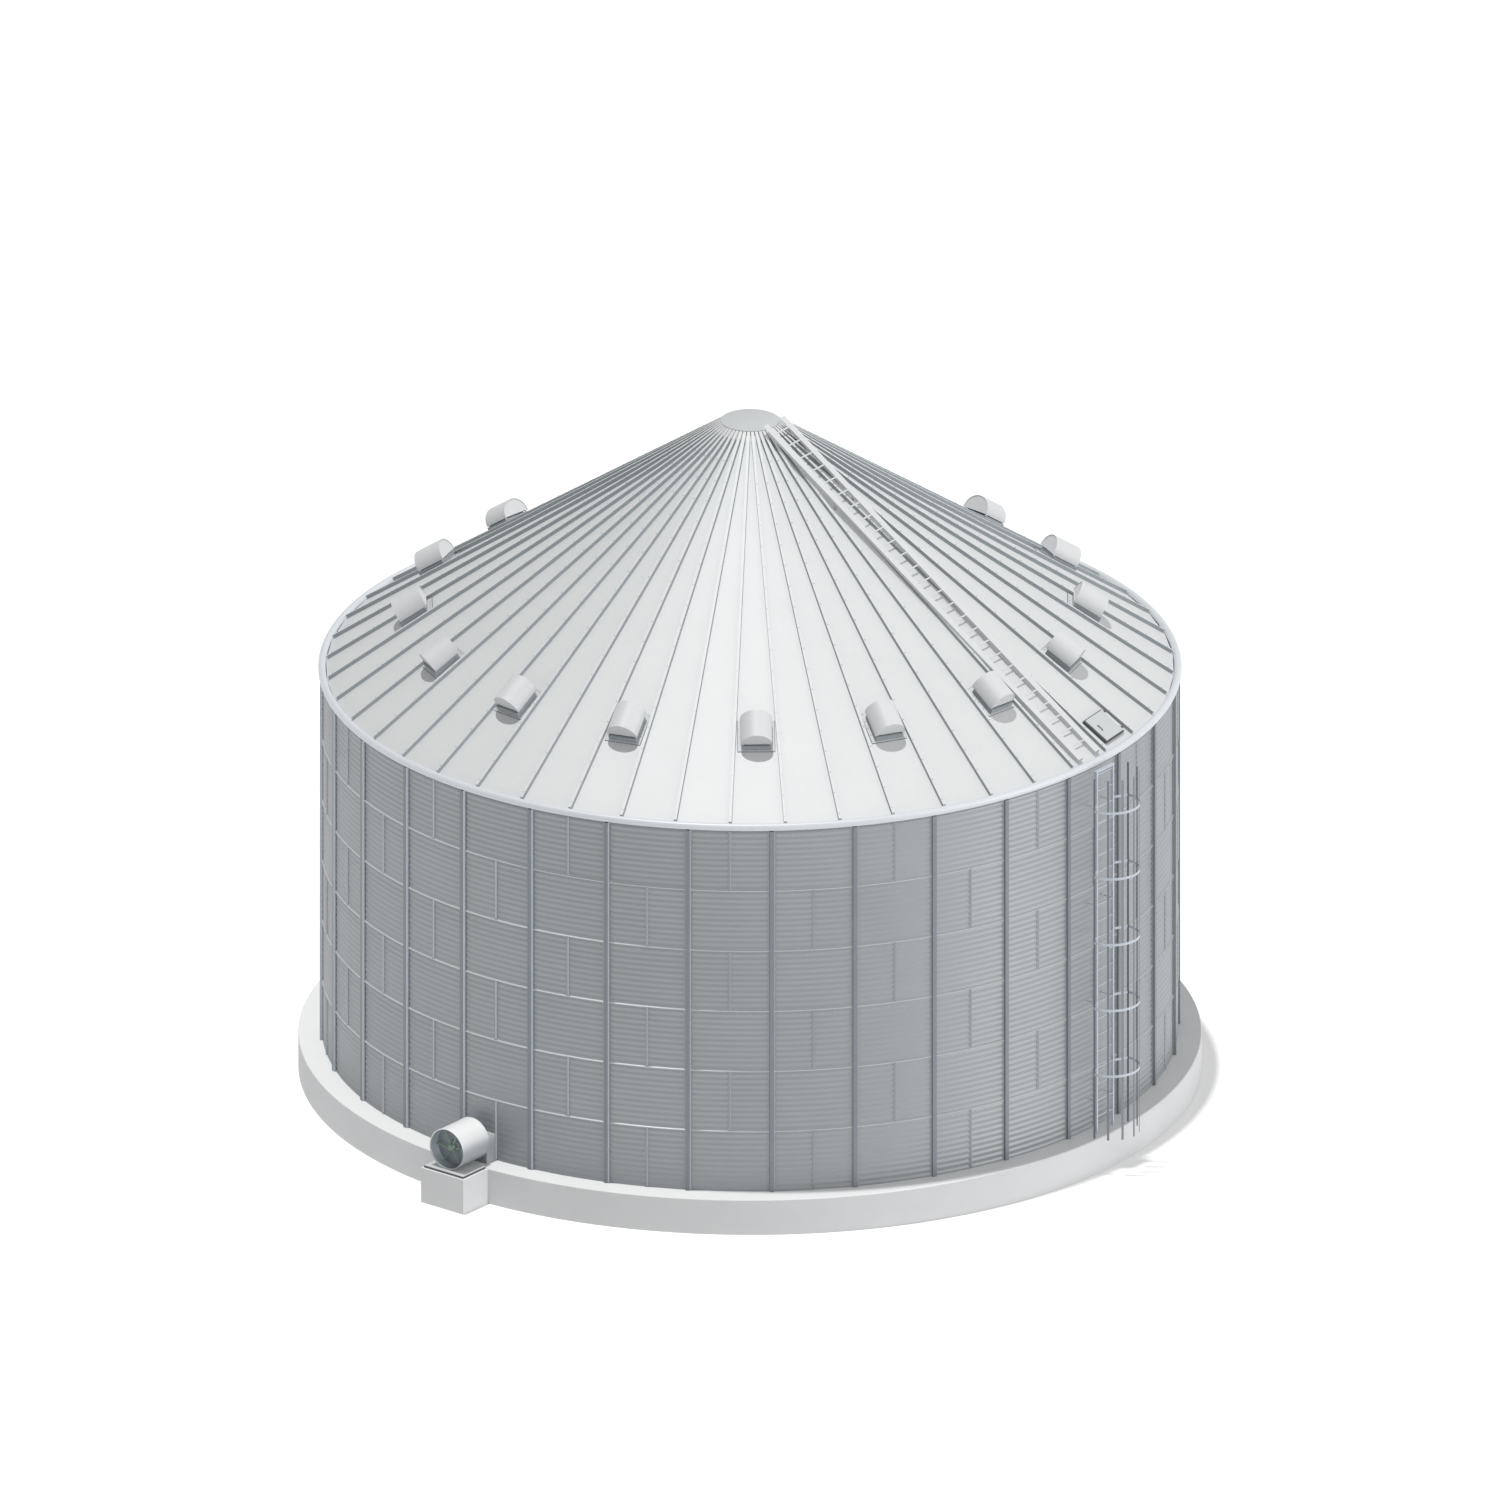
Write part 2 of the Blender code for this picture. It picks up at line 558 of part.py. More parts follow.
def make_roof_ladder(surface):
    """The ladder from the eave to the peak, on feet that stand on panels and ribs."""
    eave_radius, eave_z = ROOF_LADDER_EAVE
    peak_radius, peak_z = ROOF_LADDER_PEAK
    slope = (peak_z - eave_z) / (eave_radius - peak_radius)
    length = math.hypot(peak_z - eave_z, eave_radius - peak_radius)
    frame = Matrix.Rotation(math.radians(LADDER_AZIMUTH), 4, "Z")
    frame = frame @ Matrix.Translation((eave_radius, 0.0, eave_z))
    frame = frame @ Matrix.Rotation(math.radians(90.0), 4, "Z")
    frame = frame @ Matrix.Rotation(math.atan(slope), 4, "X")
    strip_x = (ROOF_LADDER_WIDTH - STRIP_WIDTH) / 2
    middle = STRIP_THICKNESS / 2
    bm = bmesh.new()
    for side in (-1, 1):
        box(bm, (STRIP_WIDTH, length, STRIP_THICKNESS),
            (side * strip_x, length / 2, middle), frame)
    ladder = add_object("roof_ladder", bm, surface)

    rungs = bmesh.new()
    for index in range(int((length - ROOF_FIRST_RUNG) / ROOF_RUNG_STEP) + 1):
        rod(rungs, RUNG_RADIUS, 2 * strip_x,
            (0.0, ROOF_FIRST_RUNG + index * ROOF_RUNG_STEP, middle), "X", RUNG_SIDES, frame)
    boolean(ladder, add_tool("roof_rungs", rungs), "UNION")

    feet = bmesh.new()
    foot_reach = math.hypot(FOOT_WIDTH, FOOT_LENGTH) / 2
    for radius in ROOF_LADDER_FEET:
        lean = math.sin(math.atan2(strip_x, radius)) * math.sin(ROOF_PITCH)
        bottom = GAP + foot_reach * lean - roof_drop(radius, strip_x)
        if radius in ROOF_FEET_ON_RIBS:
            bottom += RIB_HEIGHT
        underside = eave_z + (eave_radius - radius) * slope
        top = (underside - roof_z(radius)) * math.cos(ROOF_PITCH) + middle
        for side in (-1, 1):
            box(feet, (FOOT_WIDTH, FOOT_LENGTH, top - bottom),
                (side * strip_x, 0.0, (top + bottom) / 2), roof_frame(LADDER_AZIMUTH, radius))
    boolean(ladder, add_tool("roof_ladder_feet", feet), "UNION")


def make_wall_ladder(surface):
    """The vertical ladder, which stands on the plinth and is braced to the wall."""
    radius = WALL_RADIUS + WALL_LADDER_STANDOFF
    frame = radial_frame(LADDER_AZIMUTH, radius, PLINTH_HEIGHT)
    rail_x = (LADDER_WIDTH - RAIL_DEPTH) / 2
    rail_top = WALL_LADDER_TOP - WALL_LADDER_HEAD / 2
    bm = bmesh.new()
    for side in (-1, 1):
        box(bm, (RAIL_DEPTH, RAIL_WIDTH, rail_top - GAP),
            (side * rail_x, 0.0, (rail_top + GAP) / 2), frame)
    ladder = add_object("wall_ladder", bm, surface)

    rungs = bmesh.new()
    count = int(WALL_LADDER_TOP / WALL_RUNG_STEP)
    for index in range(1, count + 1):
        rod(rungs, RUNG_RADIUS, 2 * rail_x, (0.0, 0.0, index * WALL_RUNG_STEP), "X",
            RUNG_SIDES, frame)
    boolean(ladder, add_tool("wall_rungs", rungs), "UNION")
    head = bmesh.new()
    box(head, (LADDER_WIDTH + 2 * HEAD_OVERHANG, RAIL_WIDTH + 2 * HEAD_OVERHANG,
               WALL_LADDER_HEAD), (0.0, 0.0, rail_top), frame)
    boolean(ladder, add_tool("wall_ladder_head", head), "UNION")

    wall_face = WALL_RADIUS * math.cos(math.pi / WALL_SIDES)
    inner = wall_face + GAP - radius
    brackets = bmesh.new()
    for height in BRACKET_HEIGHTS:
        for side in (-1, 1):
            box(brackets, (RAIL_DEPTH - 2 * BRACKET_INSET, -inner, BRACKET_SIZE),
                (side * rail_x, inner / 2, height), frame)
    boolean(ladder, add_tool("wall_brackets", brackets), "UNION")


def make_cage(surface):
    """Five hoops around the wall ladder, joined by seven upright straps."""
    ladder_radius = WALL_RADIUS + WALL_LADDER_STANDOFF
    frame = radial_frame(LADDER_AZIMUTH, ladder_radius, PLINTH_HEIGHT)
    ear_x = LADDER_WIDTH / 2 + GAP + CAGE_BAR / 2
    outline = [(ear_x, -RAIL_WIDTH / 2), (ear_x, RAIL_WIDTH / 2)]
    for step in range(CAGE_ARC_SIDES + 1):
        angle = math.pi * step / CAGE_ARC_SIDES
        outline.append((CAGE_RADIUS * math.cos(angle),
                        CAGE_CENTRE + CAGE_RADIUS * math.sin(angle)))
    outline += [(-ear_x, RAIL_WIDTH / 2), (-ear_x, -RAIL_WIDTH / 2)]
    hoops = bmesh.new()
    for height in CAGE_HOOPS:
        low = height - CAGE_HOOP_HEIGHT / 2
        verts = [hoops.verts.new(frame @ Vector((x, y, low))) for x, y in outline]
        edges = [hoops.edges.new(pair) for pair in zip(verts, verts[1:])]
        lifted = bmesh.ops.extrude_edge_only(hoops, edges=edges)["geom"]
        raised = [item for item in lifted if isinstance(item, bmesh.types.BMVert)]
        bmesh.ops.translate(hoops, verts=raised, vec=(0.0, 0.0, CAGE_HOOP_HEIGHT))
    cage = add_object("ladder_cage", hoops, surface)
    bars = cage.modifiers.new("bar", "SOLIDIFY")
    bars.thickness = CAGE_BAR
    bars.offset = 0.0
    bars.use_even_offset = True

    straps = bmesh.new()
    length = CAGE_STRAP_TOP - CAGE_STRAP_BOTTOM
    middle = (CAGE_STRAP_TOP + CAGE_STRAP_BOTTOM) / 2
    for index in range(CAGE_STRAPS):
        angle = 180.0 * index / (CAGE_STRAPS - 1)
        turn = Matrix.Translation((0.0, CAGE_CENTRE, 0.0))
        turn = turn @ Matrix.Rotation(math.radians(angle), 4, "Z")
        box(straps, (CAGE_BAR, CAGE_STRAP_WIDTH, length),
            (CAGE_RADIUS - CAGE_BAR / 2, 0.0, middle), frame @ turn)
    boolean(cage, add_tool("cage_straps", straps), "UNION")


def make_fan(plate_surface, shell_surface, motor_surface, rotor_surface):
    """The aeration fan on its plate: housing, motor and rotor, on a radial axis."""
    frame = radial_frame(FAN_AZIMUTH)
    plate_inner = PLINTH_RADIUS + GAP
    plate_front = PAD_FRONT - PLATE_INSET
    plate_top = PLINTH_HEIGHT + GAP + PLATE_THICKNESS
    bm = bmesh.new()
    box(bm, (PAD_WIDTH - 2 * PLATE_INSET, plate_front - plate_inner, PLATE_THICKNESS),
        (0.0, (plate_front + plate_inner) / 2, plate_top - PLATE_THICKNESS / 2), frame)
    add_object("fan_base_plate", bm, plate_surface)

    centre_z = plate_top + GAP + FAN_RADIUS
    back = FAN_FRONT - FAN_LENGTH
    inside = FAN_RADIUS - FAN_SHELL
    fan = radial_frame(FAN_AZIMUTH, 0.0, centre_z)
    bm = bmesh.new()
    rod(bm, FAN_RADIUS, FAN_LENGTH, (0.0, (FAN_FRONT + back) / 2, 0.0), "Y",
        ROUND_SIDES, fan)
    housing = add_object("fan_housing", bm, shell_surface)
    bore = bmesh.new()
    bore_back = back + FAN_BACK_PLATE
    bore_front = FAN_FRONT + OVERLAP
    rod(bore, inside, bore_front - bore_back, (0.0, (bore_front + bore_back) / 2, 0.0), "Y",
        ROUND_SIDES, fan)
    boolean(housing, add_tool("fan_bore", bore), "DIFFERENCE")
    outlet = bmesh.new()
    duct_top = PLINTH_HEIGHT + DUCT_HEIGHT - DUCT_SHEET
    outlet_bottom = plate_top + 2 * FAN_SHELL
    box(outlet, (FAN_OUTLET_WIDTH, FAN_OUTLET_CUT_DEPTH, duct_top - outlet_bottom),
        (0.0, back, (duct_top + outlet_bottom) / 2), frame)
    boolean(housing, add_tool("fan_outlet", outlet), "DIFFERENCE")

    rotor_back = FAN_FRONT - ROTOR_SETBACK - ROTOR_HUB_LENGTH
    motor_front = rotor_back - ROTOR_HUB_GAP
    motor_middle = motor_front - MOTOR_LENGTH / 2
    bm = bmesh.new()
    rod(bm, MOTOR_RADIUS, MOTOR_LENGTH, (0.0, motor_middle, 0.0), "Y", ROUND_SIDES // 2, fan)
    motor = add_object("fan_motor", bm, motor_surface)
    shaft = bmesh.new()
    rod(shaft, MOTOR_SHAFT_RADIUS, 2 * MOTOR_SHAFT_LENGTH, (0.0, motor_front, 0.0), "Y",
        SHAFT_SIDES, fan)
    boolean(motor, add_tool("motor_shaft", shaft), "UNION")
    struts = bmesh.new()
    strut_inner = MOTOR_RADIUS - OVERLAP
    strut_outer = inside - MOTOR_STRUT_THICKNESS / 2 * math.tan(math.pi / ROUND_SIDES) - GAP
    for index in range(MOTOR_STRUTS):
        angle = FIRST_STRUT_ANGLE + index * 360.0 / MOTOR_STRUTS
        turn = fan @ Matrix.Rotation(math.radians(angle), 4, "Y")
        box(struts, (strut_outer - strut_inner, MOTOR_STRUT_WIDTH, MOTOR_STRUT_THICKNESS),
            ((strut_outer + strut_inner) / 2, motor_middle, 0.0), turn)
    boolean(motor, add_tool("motor_struts", struts), "UNION")

    bm = bmesh.new()
    rod(bm, ROTOR_HUB_RADIUS, ROTOR_HUB_LENGTH,
        (0.0, rotor_back + ROTOR_HUB_LENGTH / 2, 0.0), "Y", ROUND_SIDES // 2, fan)
    rotor = add_object("fan_rotor", bm, rotor_surface)
    blades = bmesh.new()
    blade_inner = ROTOR_HUB_RADIUS - OVERLAP
    for index in range(ROTOR_BLADES):
        turn = fan @ Matrix.Rotation(math.radians(index * 360.0 / ROTOR_BLADES), 4, "Y")
        turn = turn @ Matrix.Translation((0.0, rotor_back + ROTOR_HUB_LENGTH / 2, 0.0))
        turn = turn @ Matrix.Rotation(math.radians(BLADE_PITCH), 4, "X")
        box(blades, (ROTOR_TIP_RADIUS - blade_inner, BLADE_THICKNESS, BLADE_CHORD),
            ((ROTOR_TIP_RADIUS + blade_inner) / 2, 0.0, 0.0), turn)
    boolean(rotor, add_tool("rotor_blades", blades), "UNION")
    socket = bmesh.new()
    socket_depth = MOTOR_SHAFT_LENGTH + ROTOR_HUB_GAP
    rod(socket, ROTOR_BORE_RADIUS, socket_depth,
        (0.0, rotor_back - ROTOR_HUB_GAP + socket_depth / 2, 0.0), "Y", SHAFT_SIDES, fan)
    boolean(rotor, add_tool("rotor_socket", socket), "DIFFERENCE")


def make_duct(surface):
    """The rectangular duct from the fan to the wall."""
    frame = radial_frame(FAN_AZIMUTH)
    inner = WALL_RADIUS + DUCT_WALL_GAP
    outer = FAN_FRONT - FAN_LENGTH - GAP
    length = outer - inner
    middle = (outer + inner) / 2
    bm = bmesh.new()
    box(bm, (DUCT_WIDTH, length, DUCT_HEIGHT),
        (0.0, middle, PLINTH_HEIGHT + GAP + DUCT_HEIGHT / 2), frame)
    duct = add_object("transition_duct", bm, surface)
    bore = bmesh.new()
    box(bore, (DUCT_WIDTH - 2 * DUCT_SHEET, 2 * length, DUCT_HEIGHT - 2 * DUCT_SHEET),
        (0.0, middle, PLINTH_HEIGHT + GAP + DUCT_HEIGHT / 2), frame)
    boolean(duct, add_tool("duct_bore", bore), "DIFFERENCE")


def main():
    """Build the whole silo."""
    empty_scene()
    concrete = material("concrete", (0.60, 0.61, 0.60), 0.85, 0.0)
    sheet = material("galvanised_sheet", (0.52, 0.55, 0.57), 0.45, 0.85)
    roof_sheet = material("roof_sheet", (0.80, 0.82, 0.82), 0.50, 0.60)
    light_steel = material("light_steel", (0.82, 0.83, 0.84), 0.40, 0.60)
    ladder_steel = material("ladder_steel", (0.66, 0.70, 0.75), 0.45, 0.80)
    dark_steel = material("dark_steel", (0.16, 0.17, 0.18), 0.60, 0.40)
    fan_grey = material("fan_grey", (0.75, 0.76, 0.77), 0.45, 0.50)
    rotor_green = material("rotor_green", (0.25, 0.33, 0.28), 0.50, 0.30)

    make_foundation(concrete)
    make_wall(sheet)
    cut_duct_opening()
    make_eave_ring(light_steel)
    make_roof(roof_sheet)
    make_peak(dark_steel, light_steel)
    for index in range(VENTS):
        azimuth = VENT_FIRST_AZIMUTH + index * 360.0 / VENTS
        make_vent(f"roof_vent_{index + 1:02d}", azimuth, light_steel)
    make_hatch(dark_steel, light_steel)
    make_roof_ladder(ladder_steel)
    make_wall_ladder(ladder_steel)
    make_cage(ladder_steel)
    make_fan(dark_steel, fan_grey, dark_steel, rotor_green)
    make_duct(fan_grey)


main()
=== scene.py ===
# %% [markdown]
# # A grain silo, dressed over its solid model
# A grain bin is a thin steel drum: curved, corrugated sheets bolted into rings, a cone of
# flat panels over them and a concrete plinth below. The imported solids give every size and
# place. This script dresses them: it adds the sheets, bolts, beads and folded edges that
# are too fine for the solids, and gives every surface a finish made of shader nodes.

# %% Load the solids as a fixed frame
import json
import math

import bmesh
import bpy
from mathutils import Matrix, Vector

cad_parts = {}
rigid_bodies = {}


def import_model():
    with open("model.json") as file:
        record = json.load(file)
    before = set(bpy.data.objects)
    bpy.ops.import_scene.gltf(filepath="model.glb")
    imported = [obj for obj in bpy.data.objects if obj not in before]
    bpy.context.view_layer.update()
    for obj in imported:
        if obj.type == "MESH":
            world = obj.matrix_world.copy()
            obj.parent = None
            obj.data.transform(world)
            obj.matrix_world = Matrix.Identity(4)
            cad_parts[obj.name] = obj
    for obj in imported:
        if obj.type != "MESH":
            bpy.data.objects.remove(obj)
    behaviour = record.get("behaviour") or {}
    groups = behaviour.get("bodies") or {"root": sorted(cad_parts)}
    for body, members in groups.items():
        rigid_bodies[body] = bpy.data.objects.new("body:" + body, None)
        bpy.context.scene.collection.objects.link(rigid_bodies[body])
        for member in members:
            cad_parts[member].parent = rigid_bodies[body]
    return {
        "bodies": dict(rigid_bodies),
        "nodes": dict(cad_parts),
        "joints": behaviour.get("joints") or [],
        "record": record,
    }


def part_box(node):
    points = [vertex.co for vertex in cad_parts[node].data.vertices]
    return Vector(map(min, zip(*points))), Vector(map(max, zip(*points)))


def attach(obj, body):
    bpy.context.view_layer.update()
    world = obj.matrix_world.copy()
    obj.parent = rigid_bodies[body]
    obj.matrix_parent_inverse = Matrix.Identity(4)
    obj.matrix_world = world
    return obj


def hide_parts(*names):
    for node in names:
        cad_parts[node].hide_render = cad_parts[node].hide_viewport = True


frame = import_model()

scene = bpy.context.scene
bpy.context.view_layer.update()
nodes = frame["nodes"]
print("solids:", len(nodes))

# %% [markdown]
# ## The driving sizes
# The plinth is read from its solid. Six rings of sheets stand on it, sixteen sheets to a
# ring, and each sheet's end laps a little over the next one's start. Most places in this
# script follow from these few numbers, so a change here moves all that depends on it.
# Lengths are metres and angles are degrees, and the silo's axis is the Z axis.

# %% Plinth and wall
PLINTH_RADIUS, _, PLINTH_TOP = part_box("foundation_slab")[1]
WALL_RADIUS = 7.315
RINGS = 6
RING_HEIGHT = 1.109
WALL_TOP = PLINTH_TOP + RINGS * RING_HEIGHT
SHEETS = 16
SHEET_ANGLE = 360.0 / SHEETS
SHEET_LAP = 0.45
FIRST_SEAM = -7.95
print("plinth", round(2 * PLINTH_RADIUS, 2), "m across, wall top", round(WALL_TOP, 3), "m")

# %% [markdown]
# ## The camera
# The photograph has no perspective: every ring of the silo is an ellipse of one shape. A
# long lens from far away comes close to that, and an orthographic camera does it exactly.
# Its height over the horizon, 22 degrees, is read from the ellipse, and its turn from
# where the hatch and the ladder stand.

# %% Camera
VIEW_AZIMUTH = -61.05
VIEW_ELEVATION = 22.0
VIEW_TARGET = Vector((0.0, 0.0, 5.827))
VIEW_WIDTH = 25.665
VIEW_DISTANCE = 60.0
VIEW_DEPTH = 400.0


def add_object(name, data):
    """Put a mesh, a lamp or a camera in the scene."""
    made = bpy.data.objects.new(name, data)
    scene.collection.objects.link(made)
    return made


def direction(azimuth, elevation):
    """The direction at an angle round the silo and at one over the horizon."""
    turn, high = math.radians(azimuth), math.radians(elevation)
    return Vector((math.cos(high) * math.cos(turn), math.cos(high) * math.sin(turn),
                   math.sin(high)))


away = direction(VIEW_AZIMUTH, VIEW_ELEVATION)
camera = add_object("camera", bpy.data.cameras.new("camera"))
camera.data.type = "ORTHO"
camera.data.ortho_scale = VIEW_WIDTH
camera.data.clip_end = VIEW_DEPTH
camera.location = VIEW_TARGET + away * VIEW_DISTANCE
camera.rotation_euler = away.to_track_quat("Z", "Y").to_euler()
scene.camera = camera
print("camera at", [round(value, 2) for value in camera.location])

# %% [markdown]
# ## Node trees as expressions
# Materials and Geometry Nodes are both trees of nodes, and a tree that is wired by hand is
# hard to read back. Here one small class wraps an output socket, so that a sum of wires
# adds its Math nodes, and one class holds a tree and makes any other node from its type,
# its settings and its sockets' values. A formula then reads as a formula.


# %% A wire and a board
def forward(operation):
    """The method of an operator with the wire on its left."""
    return lambda wire, other: wire.board.maths(operation, wire, other)


def reflected(operation):
    """The same with the wire on its right, as in 1 - wire."""
    return lambda wire, other: wire.board.maths(operation, other, wire)


class Wire:
    """An output socket that can be used in an expression."""

    def __init__(self, board, socket):
        self.board, self.socket = board, socket

    __add__, __radd__ = forward("ADD"), reflected("ADD")
    __sub__, __rsub__ = forward("SUBTRACT"), reflected("SUBTRACT")
    __mul__, __rmul__ = forward("MULTIPLY"), reflected("MULTIPLY")
    __truediv__, __rtruediv__ = forward("DIVIDE"), reflected("DIVIDE")
    __gt__, __lt__ = forward("GREATER_THAN"), forward("LESS_THAN")


class Board:
    """A node tree that is filled line by line."""

    def __init__(self, tree):
        self.tree = tree

    def add(self, kind, settings=None, values=None, output=0):
        """Make a node: settings first, then its sockets' values or wires."""
        made = self.tree.nodes.new(kind)
        for name, value in (settings or {}).items():
            setattr(made, name, value)
        for name, value in (values or {}).items():
            self.feed(made.inputs[name], value)
        return Wire(self, made.outputs[output]) if made.outputs else None

    def feed(self, socket, value):
        """Give a socket a wire or a value."""
        if isinstance(value, Wire):
            self.tree.links.new(value.socket, socket)
        else:
            socket.default_value = value

    def other(self, wire, name):
        """Another output of the node that a wire comes from."""
        return Wire(self, wire.socket.node.outputs[name])

    def maths(self, operation, *operands):
        """A Math node on wires and numbers."""
        return self.add("ShaderNodeMath", {"operation": operation},
                        dict(enumerate(operands)))

    def vector(self, x=0.0, y=0.0, z=0.0):
        """A vector from wires and numbers."""
        return self.add("ShaderNodeCombineXYZ", None, {"X": x, "Y": y, "Z": z})

    def axes(self, vector):
        """The X, Y and Z of a vector, as three wires."""
        split = self.add("ShaderNodeSeparateXYZ", None, {"Vector": vector})
        return split, self.other(split, "Y"), self.other(split, "Z")


print("tree tools ready")

# %% [markdown]
# ## What a finish is made of
# Everything on the silo is galvanised steel, painted steel or concrete. A photograph of
# each could be wrapped round it, but it would show its edges and repeat itself. Noise on
# Object coordinates, which here are the same as real metres, never does, and it keeps its
# true scale on a bolt and on the wall alike. The patterns stay faint, because the
# photograph shows a clean, new silo.

# %% A finish starts from one shader
MIX_AMOUNT, MIX_FIRST, MIX_SECOND, MIX_RESULT = 0, 6, 7, 2

finish = {}


def new_finish(name, roughness, metallic):
    """Start a finish with one Principled shader; returns what fills its tree."""
    made = bpy.data.materials.new(name)
    made.use_nodes = True
    finish[name] = made
    board = Board(made.node_tree)
    shader = made.node_tree.nodes["Principled BSDF"]
    shader.inputs["Roughness"].default_value = roughness
    shader.inputs["Metallic"].default_value = metallic
    return board, shader, board.add("ShaderNodeTexCoord", output="Object")


def mix(board, amount, first, second):
    """Mix two colours, or two wires of colour, by a wire from 0 to 1."""
    first, second = (value if isinstance(value, Wire) else (*value, 1.0)
                     for value in (first, second))
    return board.add("ShaderNodeMix", {"data_type": "RGBA"}, {
        MIX_AMOUNT: amount, MIX_FIRST: first, MIX_SECOND: second}, output=MIX_RESULT)


def noise(board, place, scale, detail, roughness):
    """Cloudy noise from 0 to 1."""
    return board.add("ShaderNodeTexNoise", None, {
        "Vector": place, "Scale": scale, "Detail": detail, "Roughness": roughness})


def crystals(board, place, size):
    """A grey from 0 to 1 that is the same all over each zinc crystal."""
    cells = board.add("ShaderNodeTexVoronoi", None,
                      {"Vector": place, "Scale": 1.0 / size}, output="Color")
    return board.add("ShaderNodeSeparateColor", None, {"Color": cells})


print("finish tools ready")

# %% [markdown]
# ## Zinc and paint
# Zinc freezes on hot steel in crystals of a few centimetres, and each throws the light
# back a little differently. A Voronoi texture has such cells. Slow noise adds the clouds
# that rolling and handling leave. Both only move the colour between two near tones, so
# that one function serves all the steel, bright or dark.


# %% Steel
def steel_finish(name, dark, light, roughness, metallic, crystal=0.03, sparkle=0.04):
    """Zinc-coated or painted steel: a slow cloudiness and a fine crystal pattern."""
    board, shader, place = new_finish(name, roughness, metallic)
    clouds = noise(board, place, 1.6, 3.0, 0.55)
    grey = crystals(board, place, crystal)
    board.feed(shader.inputs["Base Color"],
               mix(board, clouds * 0.65 + grey * 0.35, dark, light))
    board.feed(shader.inputs["Roughness"], roughness - sparkle / 2 + grey * sparkle)


print("steel ready")

# %% [markdown]
# ## The wall's sheets
# Each sheet of the wall comes from its own stretch of coil, so its grey differs a little
# from its neighbours'. A material for each sheet would mean ninety-six of them. Instead
# the shader works out, from a point's height and its turn round the axis, which sheet the
# point lies on, and draws a random grey by the sheet's number.

# %% Galvanised wall sheet
TWO_TURNS = 720.0
WALL_ROUGHNESS = 0.50
WALL_SPARKLE = 0.12
WALL_CRYSTAL = 1.0 / 45.0
WALL_DARK = (0.275, 0.290, 0.300)
WALL_LIGHT = (0.333, 0.350, 0.361)


def wall_finish():
    """Galvanised wall sheet, each sheet a slightly different grey."""
    board, shader, place = new_finish("galvanised_wall", WALL_ROUGHNESS, 0.40)
    east, north, up = board.axes(place)
    ring = board.maths("FLOOR", (up - PLINTH_TOP) / RING_HEIGHT)
    turn = board.maths("ARCTAN2", north, east) * (180.0 / math.pi)
    turn = turn - board.maths("MODULO", ring, 2.0) * (SHEET_ANGLE / 2)
    first = FIRST_SEAM + SHEET_LAP - TWO_TURNS
    sheet = board.maths("FLOOR", (turn - first) / SHEET_ANGLE)
    each = board.add("ShaderNodeTexWhiteNoise", {"noise_dimensions": "2D"},
                     {"Vector": board.vector(sheet, ring)})
    grey = crystals(board, place, WALL_CRYSTAL)
    clouds = noise(board, place, 0.8, 4.0, 0.6)
    board.feed(shader.inputs["Base Color"],
               mix(board, each * 0.20 + clouds * 0.50 + grey * 0.30, WALL_DARK, WALL_LIGHT))
    board.feed(shader.inputs["Roughness"],
               WALL_ROUGHNESS - WALL_SPARKLE / 2 + grey * WALL_SPARKLE)


print("wall sheet ready")

# %% [markdown]
# ## The fan's drum
# The drum is rolled from bright sheet. Its top looks nearly white and its underside a dull
# grey, more than soft light alone gives a rough surface, so the colour paints that light in:
# it rises with the height, smoothly between two levels, from painted shade below to a painted
# highlight on top, and takes the same course on any side.

# %% Drum steel with a painted highlight and painted shade
DRUM_PAINTED_SHADE_BELOW = 0.95
DRUM_PAINTED_HIGHLIGHT_ABOVE = 1.41


def drum_finish():
    """Drum steel: a painted highlight on its top, painted shade towards its underside."""
    board, shader, place = new_finish("fan_steel_painted_light", 0.42, 0.10)
    _, _, up = board.axes(place)
    # The height mask is painted light: painted shade below, a painted highlight above.
    high = board.add("ShaderNodeMapRange", {"interpolation_type": "SMOOTHSTEP"}, {
        "Value": up, "From Min": DRUM_PAINTED_SHADE_BELOW, "From Max": DRUM_PAINTED_HIGHLIGHT_ABOVE})
    clouds = noise(board, place, 3.0, 3.0, 0.55)
    board.feed(shader.inputs["Base Color"],
               mix(board, high * 0.94 + clouds * 0.06, (0.27, 0.29, 0.305),
                   (0.80, 0.805, 0.805)))


print("drum steel ready")

# %% [markdown]
# ## Concrete
# Concrete that was cast against boards is a mottled grey with fine grain and small pits.
# Its top is painted lighter than its sides, a painted highlight for the light that falls on it
# from above. The pits could be cut into the mesh, but at a few millimetres they only show as
# roughness, which is what a bump is for.

# %% Concrete with a painted highlight on its top
LIT_TOP_SKIN = 0.006
PIT_DEPTH = 0.002


def concrete_finish():
    """Fair-faced concrete with fine grain and pits, and a top painted lighter as a painted
    highlight.
    """
    board, shader, place = new_finish("fair_concrete", 0.85, 0.0)
    mottle = noise(board, place, 1.1, 6.0, 0.6)
    grain = noise(board, place, 60.0, 4.0, 0.7)
    pits = board.add("ShaderNodeTexVoronoi", None, {"Vector": place, "Scale": 9.0})
    hole = board.maths("SMOOTH_MIN", pits * 14.0, 1.0, 0.2)
    mixed = mottle * 0.7 + grain * 0.3
    cast = mix(board, mixed, (0.50, 0.505, 0.51), (0.60, 0.605, 0.61))
    # The top's lighter tones are a painted highlight, not the concrete's own colour.
    painted_lit_top = mix(board, mixed, (0.67, 0.675, 0.675), (0.76, 0.765, 0.765))
    _, _, up = board.axes(place)
    board.feed(shader.inputs["Base Color"],
               mix(board, up > PLINTH_TOP - LIT_TOP_SKIN, cast, painted_lit_top))
    board.feed(shader.inputs["Normal"], board.add("ShaderNodeBump", None, {
        "Strength": 1.0, "Distance": PIT_DEPTH, "Height": grain * 0.5 + hole * 0.5}))


print("concrete ready")
